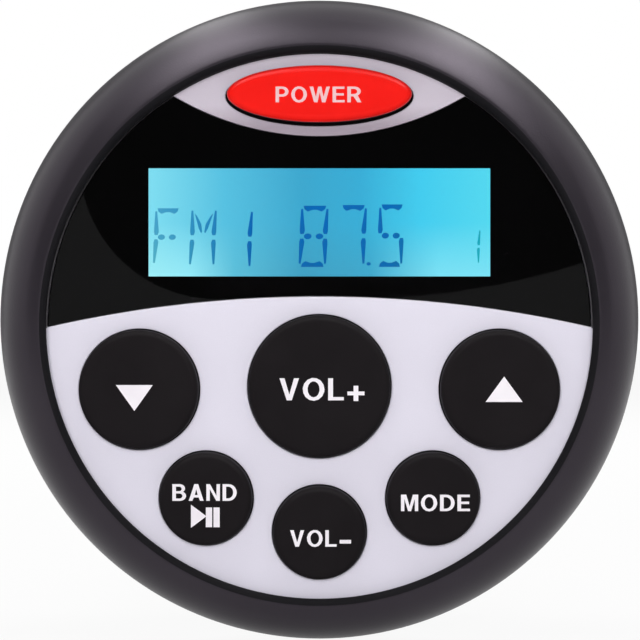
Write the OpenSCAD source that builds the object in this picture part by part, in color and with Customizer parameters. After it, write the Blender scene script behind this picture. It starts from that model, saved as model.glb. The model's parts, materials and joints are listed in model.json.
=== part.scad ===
// Round marine stereo for a dash cut-out, with its rear clamp and the pieces inside its housing.
// Each piece is drawn in the face's own frame: x to the right, y up the face and z out of it,
// with z = 0 on the dash. upright() then turns the face to look along -Y, with +Z up.

/* [Bezel] */
// Outside diameter of the bezel
bezel_d = 104; // [103:1:116]
// Height of the bezel's crest in front of the dash
bezel_h = 18; // [17:0.5:24]
// Height of the bezel's upright side, from the flange to the rounded shoulder
bezel_side_h = 3.5; // [2:0.5:6]
// Width of the rounded shoulder, seen from the front
shoulder_w = 8; // [7:0.5:10]
// Bevel round the bezel's back edge
back_bevel = 0.6; // [0.2:0.1:1]

/* [Face] */
// Width of the bezel from its outside to the lip of its opening
rim_w = 7.1; // [6:0.1:9]
// Narrowing of the opening from its lip to the panel
lip_slope = 1; // [0.4:0.1:1.4]
// Drop of the opening's centre below the bezel's centre
opening_drop = 1; // [0:0.25:1.5]
// Depth of the panel's face below the crest
panel_recess = 3; // [2:0.25:4]
// Ledge of the bezel in front of the panel's edge
ledge_w = 1.5; // [1:0.25:2]
// Thickness of the panel
panel_t = 2.5; // [2.2:0.1:3.5]
// Wall of the skirt behind the panel
skirt_t = 1.5; // [1.3:0.1:1.8]
// Rim of the panel that shows round the lens
lens_rim = 0.2; // [0.1:0.05:0.8]
// Height of the brow above the lens, from the opening's top edge
brow_h = 13.45; // [12.5:0.05:15]
// Radius of the brow's edge
brow_r = 45.6; // [40:0.2:60]
// Height of the apron's crown above the opening's centre
apron_rise = 4.7; // [3.5:0.1:6]
// Radius of the apron's edge
apron_r = 195.7; // [150:0.1:300]
// Thickness of the lens
lens_t = 1.2; // [0.8:0.1:1.5]
// Thickness of the printed mask behind the lens
mask_t = 0.2; // [0.1:0.05:0.4]

/* [Display] */
// Space from the picture to the brow above it
view_top_gap = 5.1; // [4:0.1:7]
// Space from the picture to the apron below it
view_bottom_gap = 3.25; // [2.5:0.05:5]
// Space from the picture's upper corners to the lens's edge
view_corner_gap = 6.3; // [5.5:0.1:10]
// Margin of the display glass beside the picture
glass_side_margin = 2.5; // [2:0.1:3]
// Margin of the display glass above and below the picture
glass_end_margin = 2.3; // [1.8:0.1:2.6]
// Thickness of the display glass
glass_t = 1.6; // [1:0.1:1.8]
// Wall of the frame round the display glass
frame_wall = 1.2; // [0.8:0.1:1.5]
// Number of lamps at each end of the light guide
lamps_per_end = 2; // [1:1:4]
// Length of a lamp along the guide's end
lamp_w = 4; // [2:0.5:5]
// Depth of a lamp into the guide's end
lamp_depth = 1.2; // [0.8:0.1:2]
// Height of a lamp on the key board
lamp_h = 1.2; // [0.8:0.1:1.4]

/* [Keys] */
// Turn from the volume-down key to the band and mode keys, round the opening's centre
small_key_turn = 33.33; // [31:0.01:36]
// Turn from the volume-down key to the tuning keys, round the opening's centre
tune_key_turn = 70.56; // [68:0.01:74]
// Space from the small keys to the opening's edge
small_key_edge = 3.36; // [2.6:0.01:4.5]
// Space from the tuning keys to the opening's edge
tune_key_edge = 3.7; // [2.6:0.01:4.5]
// Space between neighbouring small keys
small_key_space = 4.08; // [3:0.01:6]
// Space between a small key and its tuning key
tune_key_space = 3.47; // [3:0.01:5]
// Space from the apron's crown to the volume-up key
large_key_top_gap = 3; // [2.4:0.1:4]
// Space from the volume-up key to the volume-down key
large_key_low_gap = 4.54; // [3:0.01:6]
// Space from the power key to the opening's top edge
power_key_edge = 2.15; // [1.8:0.05:3]
// Width of the power key
power_key_w = 29.6; // [22:0.2:32]
// Height of the power key
power_key_h = 9.1; // [8.6:0.1:9.6]
// Height of a key above the panel
key_proud = 3; // [1.5:0.1:4]
// Radius of the rounding round a key's top
key_edge = 1; // [0.4:0.1:1.4]
// Travel of a key
key_travel = 0.8; // [0.4:0.1:1.2]
// Clearance round a key in its hole
key_gap = 0.2; // [0.15:0.05:0.4]
// Reach of a key's lip behind the panel
key_lip = 0.8; // [0.5:0.1:0.9]
// Thickness of a key's lip
key_lip_t = 1.2; // [0.8:0.1:1.4]

/* [Keypad] */
// Thickness of the rubber mat
mat_t = 0.8; // [0.5:0.1:1]
// Diameter of a dome at the mat
dome_d = 10; // [9:0.2:11]
// Diameter of a dome at its top
dome_top_d = 7; // [6.4:0.2:8]
// Wall of a dome
dome_wall = 0.6; // [0.4:0.1:0.8]
// Diameter of the carbon pill under a dome
pill_d = 4; // [3:0.2:4.4]
// Thickness of a pill
pill_t = 0.7; // [0.5:0.1:1]
// Diameter of a pair of contact pads
pad_d = 5; // [4.4:0.2:6]
// Thickness of a contact pad
pad_t = 0.05; // [0.03:0.01:0.1]
// Gap between the two pads of a pair
pad_slot = 0.6; // [0.4:0.1:1]
// Thickness of the key board
key_board_t = 1.6; // [1:0.1:2]
// Diameter of a screw boss behind the panel
boss_d = 4.4; // [4:0.1:5]
// Height of the side bosses above the opening's centre
side_boss_rise = 9; // [6:0.5:11]
// Turn of the top bosses from the level, round the opening's centre
top_boss_turn = 56.75; // [54:0.25:58]
// Space round a screw boss
boss_space = 1.2; // [0.8:0.1:2]
// Space from the top bosses to the skirt
top_boss_edge = 2.3; // [1.5:0.1:2.6]
// Side of the control chip on the back of the key board
control_chip_w = 12; // [7:1:14]
// Thickness of the control chip
control_chip_t = 1.4; // [1:0.1:2]

/* [Housing] */
// Reach of the bezel past the barrel
bezel_overhang = 12.5; // [11.5:0.1:14]
// Depth of the barrel behind the dash
barrel_depth = 40; // [38:1:50]
// Wall of the barrel
barrel_wall = 2.2; // [1.8:0.1:2.4]
// Thickness of the flange in front of the gasket
flange_t = 3; // [2.8:0.1:4]
// Thickness of the gasket on the dash
gasket_t = 1.5; // [1:0.1:3]
// Space between the barrel and the gasket
gasket_gap = 1.5; // [1.2:0.1:3]
// Section of the ring seal under the panel's skirt
ring_seal_d = 1; // [0.8:0.05:1.05]
// Diameter of a column inside the barrel
column_d = 9; // [7:0.5:9.5]
// Length of a column, from the barrel's back end to the main board
column_h = 8.4; // [7.5:0.1:12]
// Thickness of the flat seal under the rear cover
rear_seal_t = 0.8; // [0.5:0.1:1.2]
// Width of the flat seal under the rear cover
rear_seal_w = 2.4; // [1.8:0.1:3]
// Step from the barrel's side to the rear cover's edge
cover_step = 0.9; // [0.8:0.1:1.2]
// Thickness of the rear cover
cover_t = 3; // [2.5:0.1:4]

/* [Screws] */
// Thread of the screws in the panel and the bezel
small_screw_d = 2; // [1.6:0.1:2.1]
// Thread of the screws in the columns
column_screw_d = 2.4; // [2:0.1:2.8]
// Thread of the heat sink's screws
sink_screw_d = 2.2; // [2:0.1:2.5]
// Depth of thread in a screw boss
boss_bite = 3.2; // [2.5:0.1:3.4]
// Depth of thread in the bezel
bezel_bite = 6; // [4:0.5:7]

/* [Main board] */
// Thickness of the main board
main_board_t = 1.6; // [1:0.1:2]
// Clearance round the main board
main_board_gap = 0.5; // [0.3:0.1:1]
// Thickness of the amplifier chip behind the main board
amp_t = 3; // [2:0.1:4]
// Width of the amplifier chip
amp_w = 24; // [20:1:26]
// Height of the amplifier chip
amp_h = 14; // [12:1:16]
// Width of the tuner can
tuner_w = 16; // [14:1:18]
// Height of the tuner can
tuner_h = 13; // [12:1:15]
// Thickness of the tuner can
tuner_t = 6; // [4:0.5:8]
// Diameter of a filter capacitor
capacitor_d = 8; // [6:0.5:9]
// Length of a filter capacitor
capacitor_h = 14; // [10:1:18]
// Diameter of the choke coil
choke_d = 13; // [10:0.5:14]
// Height of the choke coil
choke_h = 9; // [7:0.5:12]
// Width of the ribbon between the boards
ribbon_w = 16; // [12:1:20]
// Thickness of the ribbon
ribbon_t = 0.6; // [0.4:0.1:1]
// Sideways bow of the ribbon's slack
ribbon_bow = 5; // [3:0.5:7]
// Height of the plugs at the ribbon's ends
plug_h = 2.6; // [2:0.1:2.8]

/* [Heat sink] */
// Width of the heat sink's base on the rear cover
sink_w = 36; // [34:1:40]
// Height of the heat sink's base
sink_h = 20; // [16:1:22]
// Thickness of the heat sink's base
sink_base_t = 3; // [2:0.25:4]
// Height of a fin
fin_h = 5; // [3:0.25:6]
// Thickness of a fin
fin_t = 1.2; // [0.8:0.1:1.6]
// Number of fins
fin_count = 7; // [5:1:9]
// Width of the finned part of the base
fin_span = 21; // [18:0.5:22]

/* [Rear sockets] */
// Distance of the antenna socket's centre from the barrel's inside
antenna_inset = 12.3; // [11:0.1:14]
// Diameter of the antenna socket
antenna_d = 10.4; // [10:0.1:11]
// Bore of the antenna socket
antenna_bore_d = 8.4; // [8.2:0.1:8.8]
// Depth of the antenna socket's bore
antenna_bore_h = 9.5; // [8:0.5:10]
// Reach of the antenna socket behind the rear cover
antenna_reach = 9; // [7:0.5:10]
// Distance of a line-out socket's centre from the barrel's inside
line_inset = 11.6; // [10.5:0.1:13]
// Turn of a line-out socket from the level
line_turn = 57; // [55:0.5:58]
// Diameter of a line-out socket
line_d = 8.3; // [8:0.1:8.6]
// Length of a line-out socket that a plug slides over
line_h = 8.2; // [7:0.2:9]
// Diameter of the pin that a line-out socket takes
line_pin_d = 3.2; // [3:0.1:3.4]
// Distance of the power socket's centre from the barrel's inside
power_socket_inset = 14.3; // [13:0.1:16]
// Width of the power socket
power_socket_w = 24; // [22:0.5:26]
// Height of the power socket
power_socket_h = 12; // [11:0.5:13]
// Wall of the power socket
power_socket_wall = 1.4; // [1:0.1:1.6]
// Reach of the power socket behind the rear cover
power_socket_reach = 8.5; // [7:0.5:10]
// Depth of the power socket's mouth
power_mouth_h = 10; // [9.6:0.1:11]
// Height of the pins in the power socket's mouth
power_pin_h = 4.5; // [3:0.1:5]
// Diameter of a power pin
power_pin_d = 1.2; // [1:0.1:1.4]
// Pins in each row of the power socket
power_pin_count = 4; // [2:1:5]
// Spacing of the pins along a row
power_pin_pitch = 4.6; // [3:0.1:4.8]
// Spacing of the two rows of pins
power_row_pitch = 4.2; // [3:0.1:5]

/* [Clamp] */
// Thickness of dash that the clamp is set for
dash_t = 8; // [3:0.5:16]
// Thread of the mounting studs
stud_d = 5; // [4:0.5:6]
// Distance of a stud from the rear cover's edge
stud_inset = 10.6; // [9.5:0.1:11]
// Reach of the studs behind the dash
stud_reach = 81; // [80:1:95]
// Length of the clamp's legs, from the feet to the strap
leg_h = 52; // [50:1:60]
// Thickness of the clamp's metal
clamp_t = 2; // [1.5:0.1:3]
// Width of the clamp's metal
clamp_w = 14; // [12:1:18]
// Space between the barrel and a leg
leg_gap = 1.5; // [1:0.1:3]
// Reach of a foot beyond its leg
foot_w = 5; // [4:0.5:6]
// Inside radius of the clamp's bends
bend_r = 3; // [2:0.5:5]
// Clearance round a stud in the strap
stud_slack = 0.3; // [0.2:0.05:0.6]
// Diameter of a thumb nut
thumb_d = 15; // [13:0.5:18]
// Height of a thumb nut
thumb_h = 9; // [7:0.5:12]
// Grooves round a thumb nut
thumb_grooves = 20; // [12:1:28]
// Thickness of a lock washer
washer_t = 1; // [0.6:0.1:1.4]

/* [Hidden] */
$fn = 72;
// Overshoot of a cut past the face that it opens
over = 1;
// Clearance between fixed pieces, round screws and between a nut and its stud
seat_gap = 0.2;
slim_gap = 0.05;
// Slack of a key's lip behind the panel, and of a pill above its pads at full travel
key_slack = 0.1;
pill_slack = 0.05;
lens_gap = 0.1;
view_margin = 0.5;
board_gap = 0.5;
// Step from the flange's edge to the gasket's, and the root of a column in the barrel's wall
gasket_step = 0.4;
column_root = 0.4;
column_turns = [35, 145, 215, 325];
shoulder_steps = 18;
edge_steps = 6;

// Levels through the face, from the dash outwards
flange_front = gasket_t + flange_t;
side_top = flange_front + bezel_side_h;
panel_face = bezel_h - panel_recess;
panel_back = panel_face - panel_t;
lens_back = panel_face - lens_t;
mask_back = lens_back - mask_t;
key_top = panel_face + key_proud;
key_shelf = panel_back - key_slack;
key_back = key_shelf - key_lip_t;
roof_back = key_back - dome_wall;
pill_back = roof_back - pill_t;
pad_front = pill_back - key_travel - pill_slack;
key_board_front = pad_front - pad_t;
key_board_back = key_board_front - key_board_t;
mat_front = key_board_front + mat_t;
glass_front = panel_back - key_slack;
glass_back = glass_front - glass_t;

// Levels behind the dash
barrel_back = -barrel_depth;
cover_front = barrel_back - rear_seal_t;
cover_back = cover_front - cover_t;
main_back = barrel_back + column_h;
main_front = main_back + main_board_t;
amp_back = main_back - amp_t;
sink_back = cover_back - sink_base_t;
antenna_end = cover_back - antenna_reach;
antenna_floor = antenna_end + antenna_bore_h;
line_step = cover_back - 1;
line_end = line_step - line_h;
power_socket_end = cover_back - power_socket_reach;
power_floor = power_socket_end + power_mouth_h;
power_pin_end = power_floor - power_pin_h;
power_pin_tail = main_front + 1.5;
strap_front = -dash_t - leg_h;
strap_back = strap_front - clamp_t;
washer_back = strap_back - washer_t;
thumb_back = washer_back - thumb_h;

// Radii and heights of the face
bezel_r = bezel_d / 2;
lip_r = bezel_r - rim_w;
opening_r = lip_r - lip_slope;
opening_top = opening_r - opening_drop;
pocket_r = opening_r + ledge_w;
panel_r = pocket_r - seat_gap;
skirt_r = panel_r - skirt_t;
window_r = opening_r - lens_rim;
key_board_r = skirt_r - board_gap;
flange_r = bezel_r - back_bevel;
core_r = opening_r - opening_drop - ledge_w - over;
brow_y = opening_top - brow_h;
apron_y = apron_rise - opening_drop;

// Radii of the housing
barrel_r = bezel_r - bezel_overhang;
barrel_d = 2 * barrel_r;
bore_r = barrel_r - barrel_wall;
cover_r = barrel_r - cover_step;
column_at = bore_r - column_d / 2 + column_root;
main_board_r = bore_r - main_board_gap;
gasket_r = flange_r - gasket_step;
leg_x = barrel_r + leg_gap;
stud_x = cover_r - stud_inset;
antenna_y = bore_r - antenna_inset;
line_x = (bore_r - line_inset) * cos(line_turn);
line_y = (bore_r - line_inset) * sin(line_turn);
power_socket_y = power_socket_inset - bore_r;

// Screws: heads in proportion to their threads
head_ratio = 1.8;
head_h_ratio = 0.65;
small_head_d = small_screw_d * head_ratio;
small_head_h = small_screw_d * head_h_ratio;
column_head_d = column_screw_d * head_ratio;
column_head_h = column_screw_d * head_h_ratio;
sink_head_d = sink_screw_d * head_ratio;
sink_head_h = sink_screw_d * head_h_ratio;
drive_share = 0.5;

// Bezel screws stand midway between the pocket and the bezel's back edge
bezel_screw_turns = [45, 135, 225, 315];
bezel_screw_at = (pocket_r + opening_drop * sin(45) + bezel_r - back_bevel) / 2;
counterbore_h = small_head_h + seat_gap;
counterbore_d = small_head_d + 2 * seat_gap;

// Picture: between the brow and the apron, as wide as its upper corners allow
view_h = brow_y - view_top_gap - apron_y - view_bottom_gap;
view_y = apron_y + view_bottom_gap + view_h / 2;
view_w = 2 * sqrt(pow(window_r - view_corner_gap, 2) - pow(view_y + view_h / 2 + opening_drop, 2));

// Display glass, its frame and the light guide's lamps
glass_w = view_w + 2 * glass_side_margin;
glass_h = view_h + 2 * glass_end_margin;
frame_w = glass_w + 2 * lens_gap + 2 * frame_wall;
frame_h = glass_h + 2 * lens_gap + 2 * frame_wall;
lamp_pitch = glass_h / lamps_per_end;

// Small keys: as large as their spacing round the opening allows
small_chord = sin(small_key_turn / 2);
small_key_reach = opening_r - small_key_edge;
small_key_d = (2 * small_key_reach * small_chord - small_key_space) / (1 + small_chord);
small_key_at = small_key_reach - small_key_d / 2;
low_key_y = -opening_drop - small_key_at;
side_key_x = small_key_at * sin(small_key_turn);
side_key_y = -opening_drop - small_key_at * cos(small_key_turn);

// Tuning keys: as large as the space from the small keys to the opening's edge allows
tune_key_reach = opening_r - tune_key_edge;
tune_swing = small_key_at * cos(tune_key_turn - small_key_turn);
tune_clear = small_key_d / 2 + tune_key_space;
tune_key_d = (pow(small_key_at, 2) + pow(tune_key_reach, 2) - 2 * tune_swing * tune_key_reach - pow(tune_clear, 2))
    / (tune_key_reach + tune_clear - tune_swing);
tune_key_at = tune_key_reach - tune_key_d / 2;
tune_key_x = tune_key_at * sin(tune_key_turn);
tune_key_y = -opening_drop - tune_key_at * cos(tune_key_turn);

// Volume-up key: between the apron's crown and the volume-down key
large_key_d = apron_y - large_key_top_gap - (low_key_y + small_key_d / 2 + large_key_low_gap);
large_key_y = apron_y - large_key_top_gap - large_key_d / 2;
power_key_y = opening_top - power_key_edge - power_key_h / 2;

// Screw bosses: beside the display, under it between the large keys, and beside the power key
side_boss_y = side_boss_rise - opening_drop;
side_boss_x = (frame_w / 2 + sqrt(pow(key_board_r, 2) - pow(side_boss_rise, 2))) / 2;
mid_boss_x = (large_key_d / 2 + tune_key_x - tune_key_d / 2) / 2;
mid_boss_y = view_y - frame_h / 2 - boss_space - boss_d / 2;
top_boss_at = skirt_r - top_boss_edge - boss_d / 2;
top_boss_x = top_boss_at * cos(top_boss_turn);
top_boss_y = top_boss_at * sin(top_boss_turn) - opening_drop;
BOSSES = [
    [side_boss_x, side_boss_y], [-side_boss_x, side_boss_y],
    [mid_boss_x, mid_boss_y], [-mid_boss_x, mid_boss_y],
    [top_boss_x, top_boss_y], [-top_boss_x, top_boss_y]
];

// Keys: name, centre, width and height
KEYS = [
    ["power", 0, power_key_y, power_key_w, power_key_h],
    ["tune_down", -tune_key_x, tune_key_y, tune_key_d, tune_key_d],
    ["volume_up", 0, large_key_y, large_key_d, large_key_d],
    ["tune_up", tune_key_x, tune_key_y, tune_key_d, tune_key_d],
    ["band", -side_key_x, side_key_y, small_key_d, small_key_d],
    ["volume_down", 0, low_key_y, small_key_d, small_key_d],
    ["mode", side_key_x, side_key_y, small_key_d, small_key_d]
];

// Heat sink: a pedestal through the cover onto the chip, and a screw at each end of the base
pedestal_w = amp_w - 2;
pedestal_h = amp_h - 2;
fin_pitch = (fin_span - fin_t) / (fin_count - 1);
sink_screw_x = (fin_span / 2 + sink_w / 2) / 2;

// Antenna and line-out sockets: a core inside the shell and a sprung tube inside the core
shell_t = (antenna_d - antenna_bore_d) / 2;
antenna_core_d = antenna_bore_d - 2 * shell_t;
antenna_pin_d = 3.4;
contact_t = 0.4;
antenna_ring_d = antenna_d + 2.4;
antenna_ring_t = 1;
line_base_d = line_d + 1.4;
line_core_d = line_d - 1.8;
line_core_end = line_end + 0.8;

// Studs, nuts and washers
stud_head_d = stud_d * 1.85;
stud_head_h = stud_d * 0.5;
stud_nut_d = stud_d * 1.85;
stud_nut_h = stud_d * 0.8;
stud_tip = stud_d * 0.16;
washer_d = stud_d * 2;
thumb_collar_d = thumb_d * 0.72;
thumb_collar_h = 2;
thumb_groove_d = thumb_d * 0.11;

// Places of the pieces on the boards, with their centres in the face's own x and y
tuner_at = [11, 9.5];
choke_at = [15, -5];
capacitor_row = [[-16, -5], [-16, 4], [-16, 13]];
control_chip_at = [0, 12];

// Ribbon: its lower plug stands beside the tails of the power pins
plug_extra_w = 4;
plug_depth = 4.5;
plug_gap = 1;
ribbon_y = power_socket_y + power_row_pitch / 2 + power_pin_d / 2 + plug_gap + plug_depth / 2;
ribbon_steps = 24;

// Helpers

// Turns the face's frame upright
module upright() rotate([90, 0, 0]) children();

// Extrudes an outline from one level to another
module from_to(z0, z1) translate([0, 0, min(z0, z1)]) linear_extrude(abs(z1 - z0)) children();

// Moves from the bezel's centre to the opening's centre
module at_opening() translate([0, -opening_drop, 0]) children();

module at_bosses() for (p = BOSSES) translate([p[0], p[1], 0]) children();

module at_columns() for (a = column_turns) rotate(a) translate([column_at, 0, 0]) children();

module at_bezel_screws() for (a = bezel_screw_turns) rotate(a) translate([bezel_screw_at, 0, 0]) children();

module at_studs() for (s = [-1, 1]) translate([s * stud_x, 0, 0]) children();

module at_lines() for (s = [-1, 1]) translate([s * line_x, line_y, 0]) children();

module at_antenna() translate([0, antenna_y, 0]) children();

module at_sink_screws() for (s = [-1, 1]) translate([s * sink_screw_x, 0, 0]) children();

module at_power_pins()
    for (i = [0 : power_pin_count - 1])
        for (s = [-1, 1])
            translate([
                (i - (power_pin_count - 1) / 2) * power_pin_pitch,
                power_socket_y + s * power_row_pitch / 2,
                0
            ]) children();

module at_lamps()
    for (s = [-1, 1])
        for (i = [0 : lamps_per_end - 1])
            translate([
                s * (glass_w / 2 - lamp_depth / 2),
                view_y + (i - (lamps_per_end - 1) / 2) * lamp_pitch,
                0
            ]) children();

module ring(outer_d, inner_d) difference() {
    circle(d = outer_d);
    circle(d = inner_d);
}

// Outline of the lens, grown or shrunk all round
module window(grow) difference() {
    at_opening() circle(r = window_r + grow);
    translate([0, brow_y + brow_r]) circle(r = brow_r - grow);
    translate([0, apron_y - apron_r]) circle(r = apron_r - grow);
}

// Rectangle of the picture, grown all round
module view_outline(grow)
    translate([0, view_y]) square([view_w + 2 * grow, view_h + 2 * grow], center = true);

// Rectangle of the display's frame, grown all round
module frame_outline(grow)
    translate([0, view_y]) square([frame_w + 2 * grow, frame_h + 2 * grow], center = true);

// Rectangle of the glass, grown all round
module glass_outline(grow)
    translate([0, view_y]) square([glass_w + 2 * grow, glass_h + 2 * grow], center = true);

// Outline of a key, grown all round
module key_outline(k, grow)
    translate([k[1], k[2]])
        scale([(k[3] + 2 * grow) / (k[4] + 2 * grow), 1])
            circle(d = k[4] + 2 * grow);

// Rounded top corner of a key, as points from its side to its top
function key_corner(r) = [
    for (i = [0 : edge_steps])
        let (a = 90 * i / edge_steps)
        [r - key_edge + key_edge * cos(a), key_edge * sin(a)]
];

// Rounded shoulder of the bezel, as points from its side to its crest
function shoulder() = [
    for (i = [0 : shoulder_steps])
        let (a = 90 * i / shoulder_steps)
        [bezel_r - shoulder_w + shoulder_w * cos(a), side_top + (bezel_h - side_top) * sin(a)]
];

// A pan-head screw with a hex drive, its head below z = 0 and its shank above
module screw(d, shank_h) {
    head_d = d * head_ratio;
    head_h = d * head_h_ratio;
    difference() {
        union() {
            from_to(-head_h, 0) circle(d = head_d);
            from_to(0, shank_h) circle(d = d);
        }
        from_to(-head_h - over, -head_h * (1 - drive_share)) circle(d = d, $fn = 6);
    }
}

// Pieces of the face

module bezel_ring() color("#2c2b2f") upright() difference() {
    rotate_extrude() polygon(concat(
        [[core_r, flange_front], [flange_r, flange_front], [bezel_r, flange_front + back_bevel]],
        shoulder(),
        [[core_r, bezel_h]]
    ));
    at_opening() {
        from_to(flange_front - over, panel_face) circle(r = pocket_r);
        translate([0, 0, panel_face]) cylinder(
            h = panel_recess + over,
            r1 = opening_r,
            r2 = opening_r + (lip_r - opening_r) * (panel_recess + over) / panel_recess
        );
    }
    at_bezel_screws()
        from_to(flange_front - over, flange_front + bezel_bite + seat_gap)
            circle(d = small_screw_d + 2 * slim_gap);
}

module front_panel() color("#dad6e3") upright() difference() {
    union() {
        at_opening() {
            from_to(panel_back, panel_face) circle(r = panel_r);
            from_to(flange_front, panel_back) ring(2 * panel_r, 2 * skirt_r);
        }
        at_bosses() from_to(key_board_front, panel_back) circle(d = boss_d);
    }
    from_to(mask_back, panel_face + over) window(0);
    from_to(panel_back - over, panel_face) view_outline(view_margin);
    for (k = KEYS)
        from_to(panel_back - over, panel_face + over) key_outline(k, key_gap);
    at_bosses()
        from_to(key_board_front - over, key_board_front + boss_bite)
            circle(d = small_screw_d + 2 * slim_gap);
}

module display_lens() color("#303a44", 0.4) upright()
    from_to(lens_back, panel_face) window(-lens_gap);

module lens_mask() color("#080709") upright()
    from_to(mask_back, lens_back) difference() {
        window(-lens_gap);
        view_outline(0);
    }

module lcd_glass() color("#5cc8ee") upright()
    from_to(glass_back, glass_front) glass_outline(0);

module lcd_frame() color("#e8e8e4") upright()
    from_to(key_board_front, glass_front) difference() {
        frame_outline(0);
        glass_outline(lens_gap);
    }

module light_guide() color("#dff4ff") upright() difference() {
    from_to(key_board_front, glass_back) glass_outline(0);
    at_lamps()
        from_to(key_board_front - over, key_board_front + lamp_h + lens_gap)
            square([lamp_depth + 2 * lens_gap, lamp_w + 2 * lens_gap], center = true);
}

module backlight_leds() color("#f4f0d8") upright()
    at_lamps() from_to(key_board_front, key_board_front + lamp_h)
        square([lamp_depth, lamp_w], center = true);

// A key: a round-edged cap that stands through the panel, on a lip that stays behind it
module key(k) upright() union() {
    from_to(key_back, key_shelf) key_outline(k, key_lip);
    from_to(key_shelf, key_top - key_edge) key_outline(k, 0);
    translate([k[1], k[2], key_top - key_edge]) scale([k[3] / k[4], 1, 1]) rotate_extrude()
        polygon(concat([[0, 0]], key_corner(k[4] / 2), [[0, key_edge]]));
}

module key_colour(k) color(k[0] == "power" ? "#f02018" : "#1e1b1d") key(k);

// The carbon pill that a key's dome carries onto its contact pads
module pill(k) color("#303030") upright()
    translate([k[1], k[2], 0]) from_to(pill_back, roof_back) circle(d = pill_d);

module keypad_mat() color("#4a4a4e") upright() difference() {
    union() {
        from_to(key_board_front, mat_front) difference() {
            at_opening() circle(r = key_board_r);
            frame_outline(seat_gap);
            at_bosses() circle(d = boss_d + 2 * seat_gap);
        }
        for (k = KEYS)
            translate([k[1], k[2], mat_front])
                cylinder(d1 = dome_d, d2 = dome_top_d, h = key_back - mat_front);
    }
    for (k = KEYS) translate([k[1], k[2], 0]) {
        from_to(key_board_front - over, mat_front) circle(d = dome_d - 2 * dome_wall);
        translate([0, 0, mat_front]) cylinder(
            d1 = dome_d - 2 * dome_wall,
            d2 = dome_top_d - 2 * dome_wall,
            h = roof_back - mat_front
        );
    }
}

module key_board() color("#1f5a34") upright()
    from_to(key_board_back, key_board_front) difference() {
        at_opening() circle(r = key_board_r);
        at_bosses() circle(d = small_screw_d + 2 * seat_gap);
    }

module key_contacts() color("#d8b04a") upright()
    for (k = KEYS) translate([k[1], k[2], 0])
        from_to(key_board_front, pad_front) difference() {
            circle(d = pad_d);
            square([pad_slot, pad_d + over], center = true);
        }

module board_screws() color("#b8b8bc") upright()
    at_bosses() translate([0, 0, key_board_back]) screw(small_screw_d, key_board_t + boss_bite - seat_gap);

module control_chip() color("#18181a") upright()
    translate([control_chip_at[0], control_chip_at[1], 0])
        from_to(key_board_back - control_chip_t, key_board_back)
            square(control_chip_w, center = true);

// Pieces of the housing

module dash_gasket() color("#1a1a1c") upright()
    from_to(0, gasket_t) ring(2 * gasket_r, barrel_d + 2 * gasket_gap);

module barrel_housing() color("#242428") upright() difference() {
    union() {
        from_to(gasket_t, flange_front) circle(r = flange_r);
        from_to(barrel_back, gasket_t) circle(r = barrel_r);
    }
    from_to(main_back, flange_front + over) circle(r = bore_r);
    from_to(barrel_back - over, main_back) difference() {
        circle(r = bore_r);
        at_columns() circle(d = column_d);
    }
    at_columns()
        from_to(barrel_back - over, main_back + over) circle(d = column_screw_d + 2 * slim_gap);
    at_opening()
        from_to(flange_front - ring_seal_d - 2 * slim_gap, flange_front + over)
            ring(panel_r + skirt_r + ring_seal_d + seat_gap, panel_r + skirt_r - ring_seal_d - seat_gap);
    at_bezel_screws() {
        from_to(gasket_t - over, flange_front + over) circle(d = small_screw_d + 2 * slim_gap);
        from_to(gasket_t - over, gasket_t + counterbore_h) circle(d = counterbore_d);
    }
}

module front_seal() color("#111113") upright()
    at_opening()
        translate([0, 0, flange_front - slim_gap - ring_seal_d / 2])
            rotate_extrude() translate([(panel_r + skirt_r) / 2, 0]) circle(d = ring_seal_d, $fn = 24);

module bezel_screws() color("#c0c0c4") upright()
    at_bezel_screws()
        translate([0, 0, gasket_t + counterbore_h])
            screw(small_screw_d, flange_t - counterbore_h + bezel_bite);

module rear_seal() color("#151517") upright()
    from_to(cover_front, barrel_back) difference() {
        union() {
            ring(2 * cover_r, 2 * (cover_r - rear_seal_w));
            at_columns() circle(d = column_d);
        }
        at_columns() circle(d = column_screw_d + 2 * seat_gap);
    }

module rear_cover() color("#28282c") upright()
    from_to(cover_back, cover_front) difference() {
        circle(r = cover_r);
        at_columns() circle(d = column_screw_d + 2 * seat_gap);
        at_sink_screws() circle(d = sink_screw_d + 2 * slim_gap);
        at_studs() circle(d = stud_d + 2 * slim_gap);
        at_antenna() circle(d = antenna_d + 2 * seat_gap);
        at_lines() circle(d = line_base_d + 2 * seat_gap);
        square([pedestal_w + 2 * seat_gap, pedestal_h + 2 * seat_gap], center = true);
        translate([0, power_socket_y])
            square([power_socket_w + 2 * seat_gap, power_socket_h + 2 * seat_gap], center = true);
    }

module rear_cover_screws() color("#c0c0c4") upright()
    at_columns()
        translate([0, 0, cover_back])
            screw(column_screw_d, cover_t + rear_seal_t + column_h / 2 - seat_gap);

// Pieces on the main board

module main_board() color("#1f5a34") upright()
    from_to(main_back, main_front) difference() {
        circle(r = main_board_r);
        at_columns() circle(d = column_screw_d + 2 * seat_gap);
        at_power_pins() circle(d = power_pin_d + 2 * slim_gap);
    }

module main_board_screws() color("#c0c0c4") upright()
    at_columns()
        translate([0, 0, main_front])
            mirror([0, 0, 1]) screw(column_screw_d, main_board_t + column_h / 2 - seat_gap);

// The flat ribbon's centre line: height above its lower end, and sideways bow
function ribbon_z(t) = main_front + plug_h + t * (key_board_back - main_front - 2 * plug_h);
function ribbon_side(t) = ribbon_y + ribbon_bow * (1 - cos(360 * t)) / 2;

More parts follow.
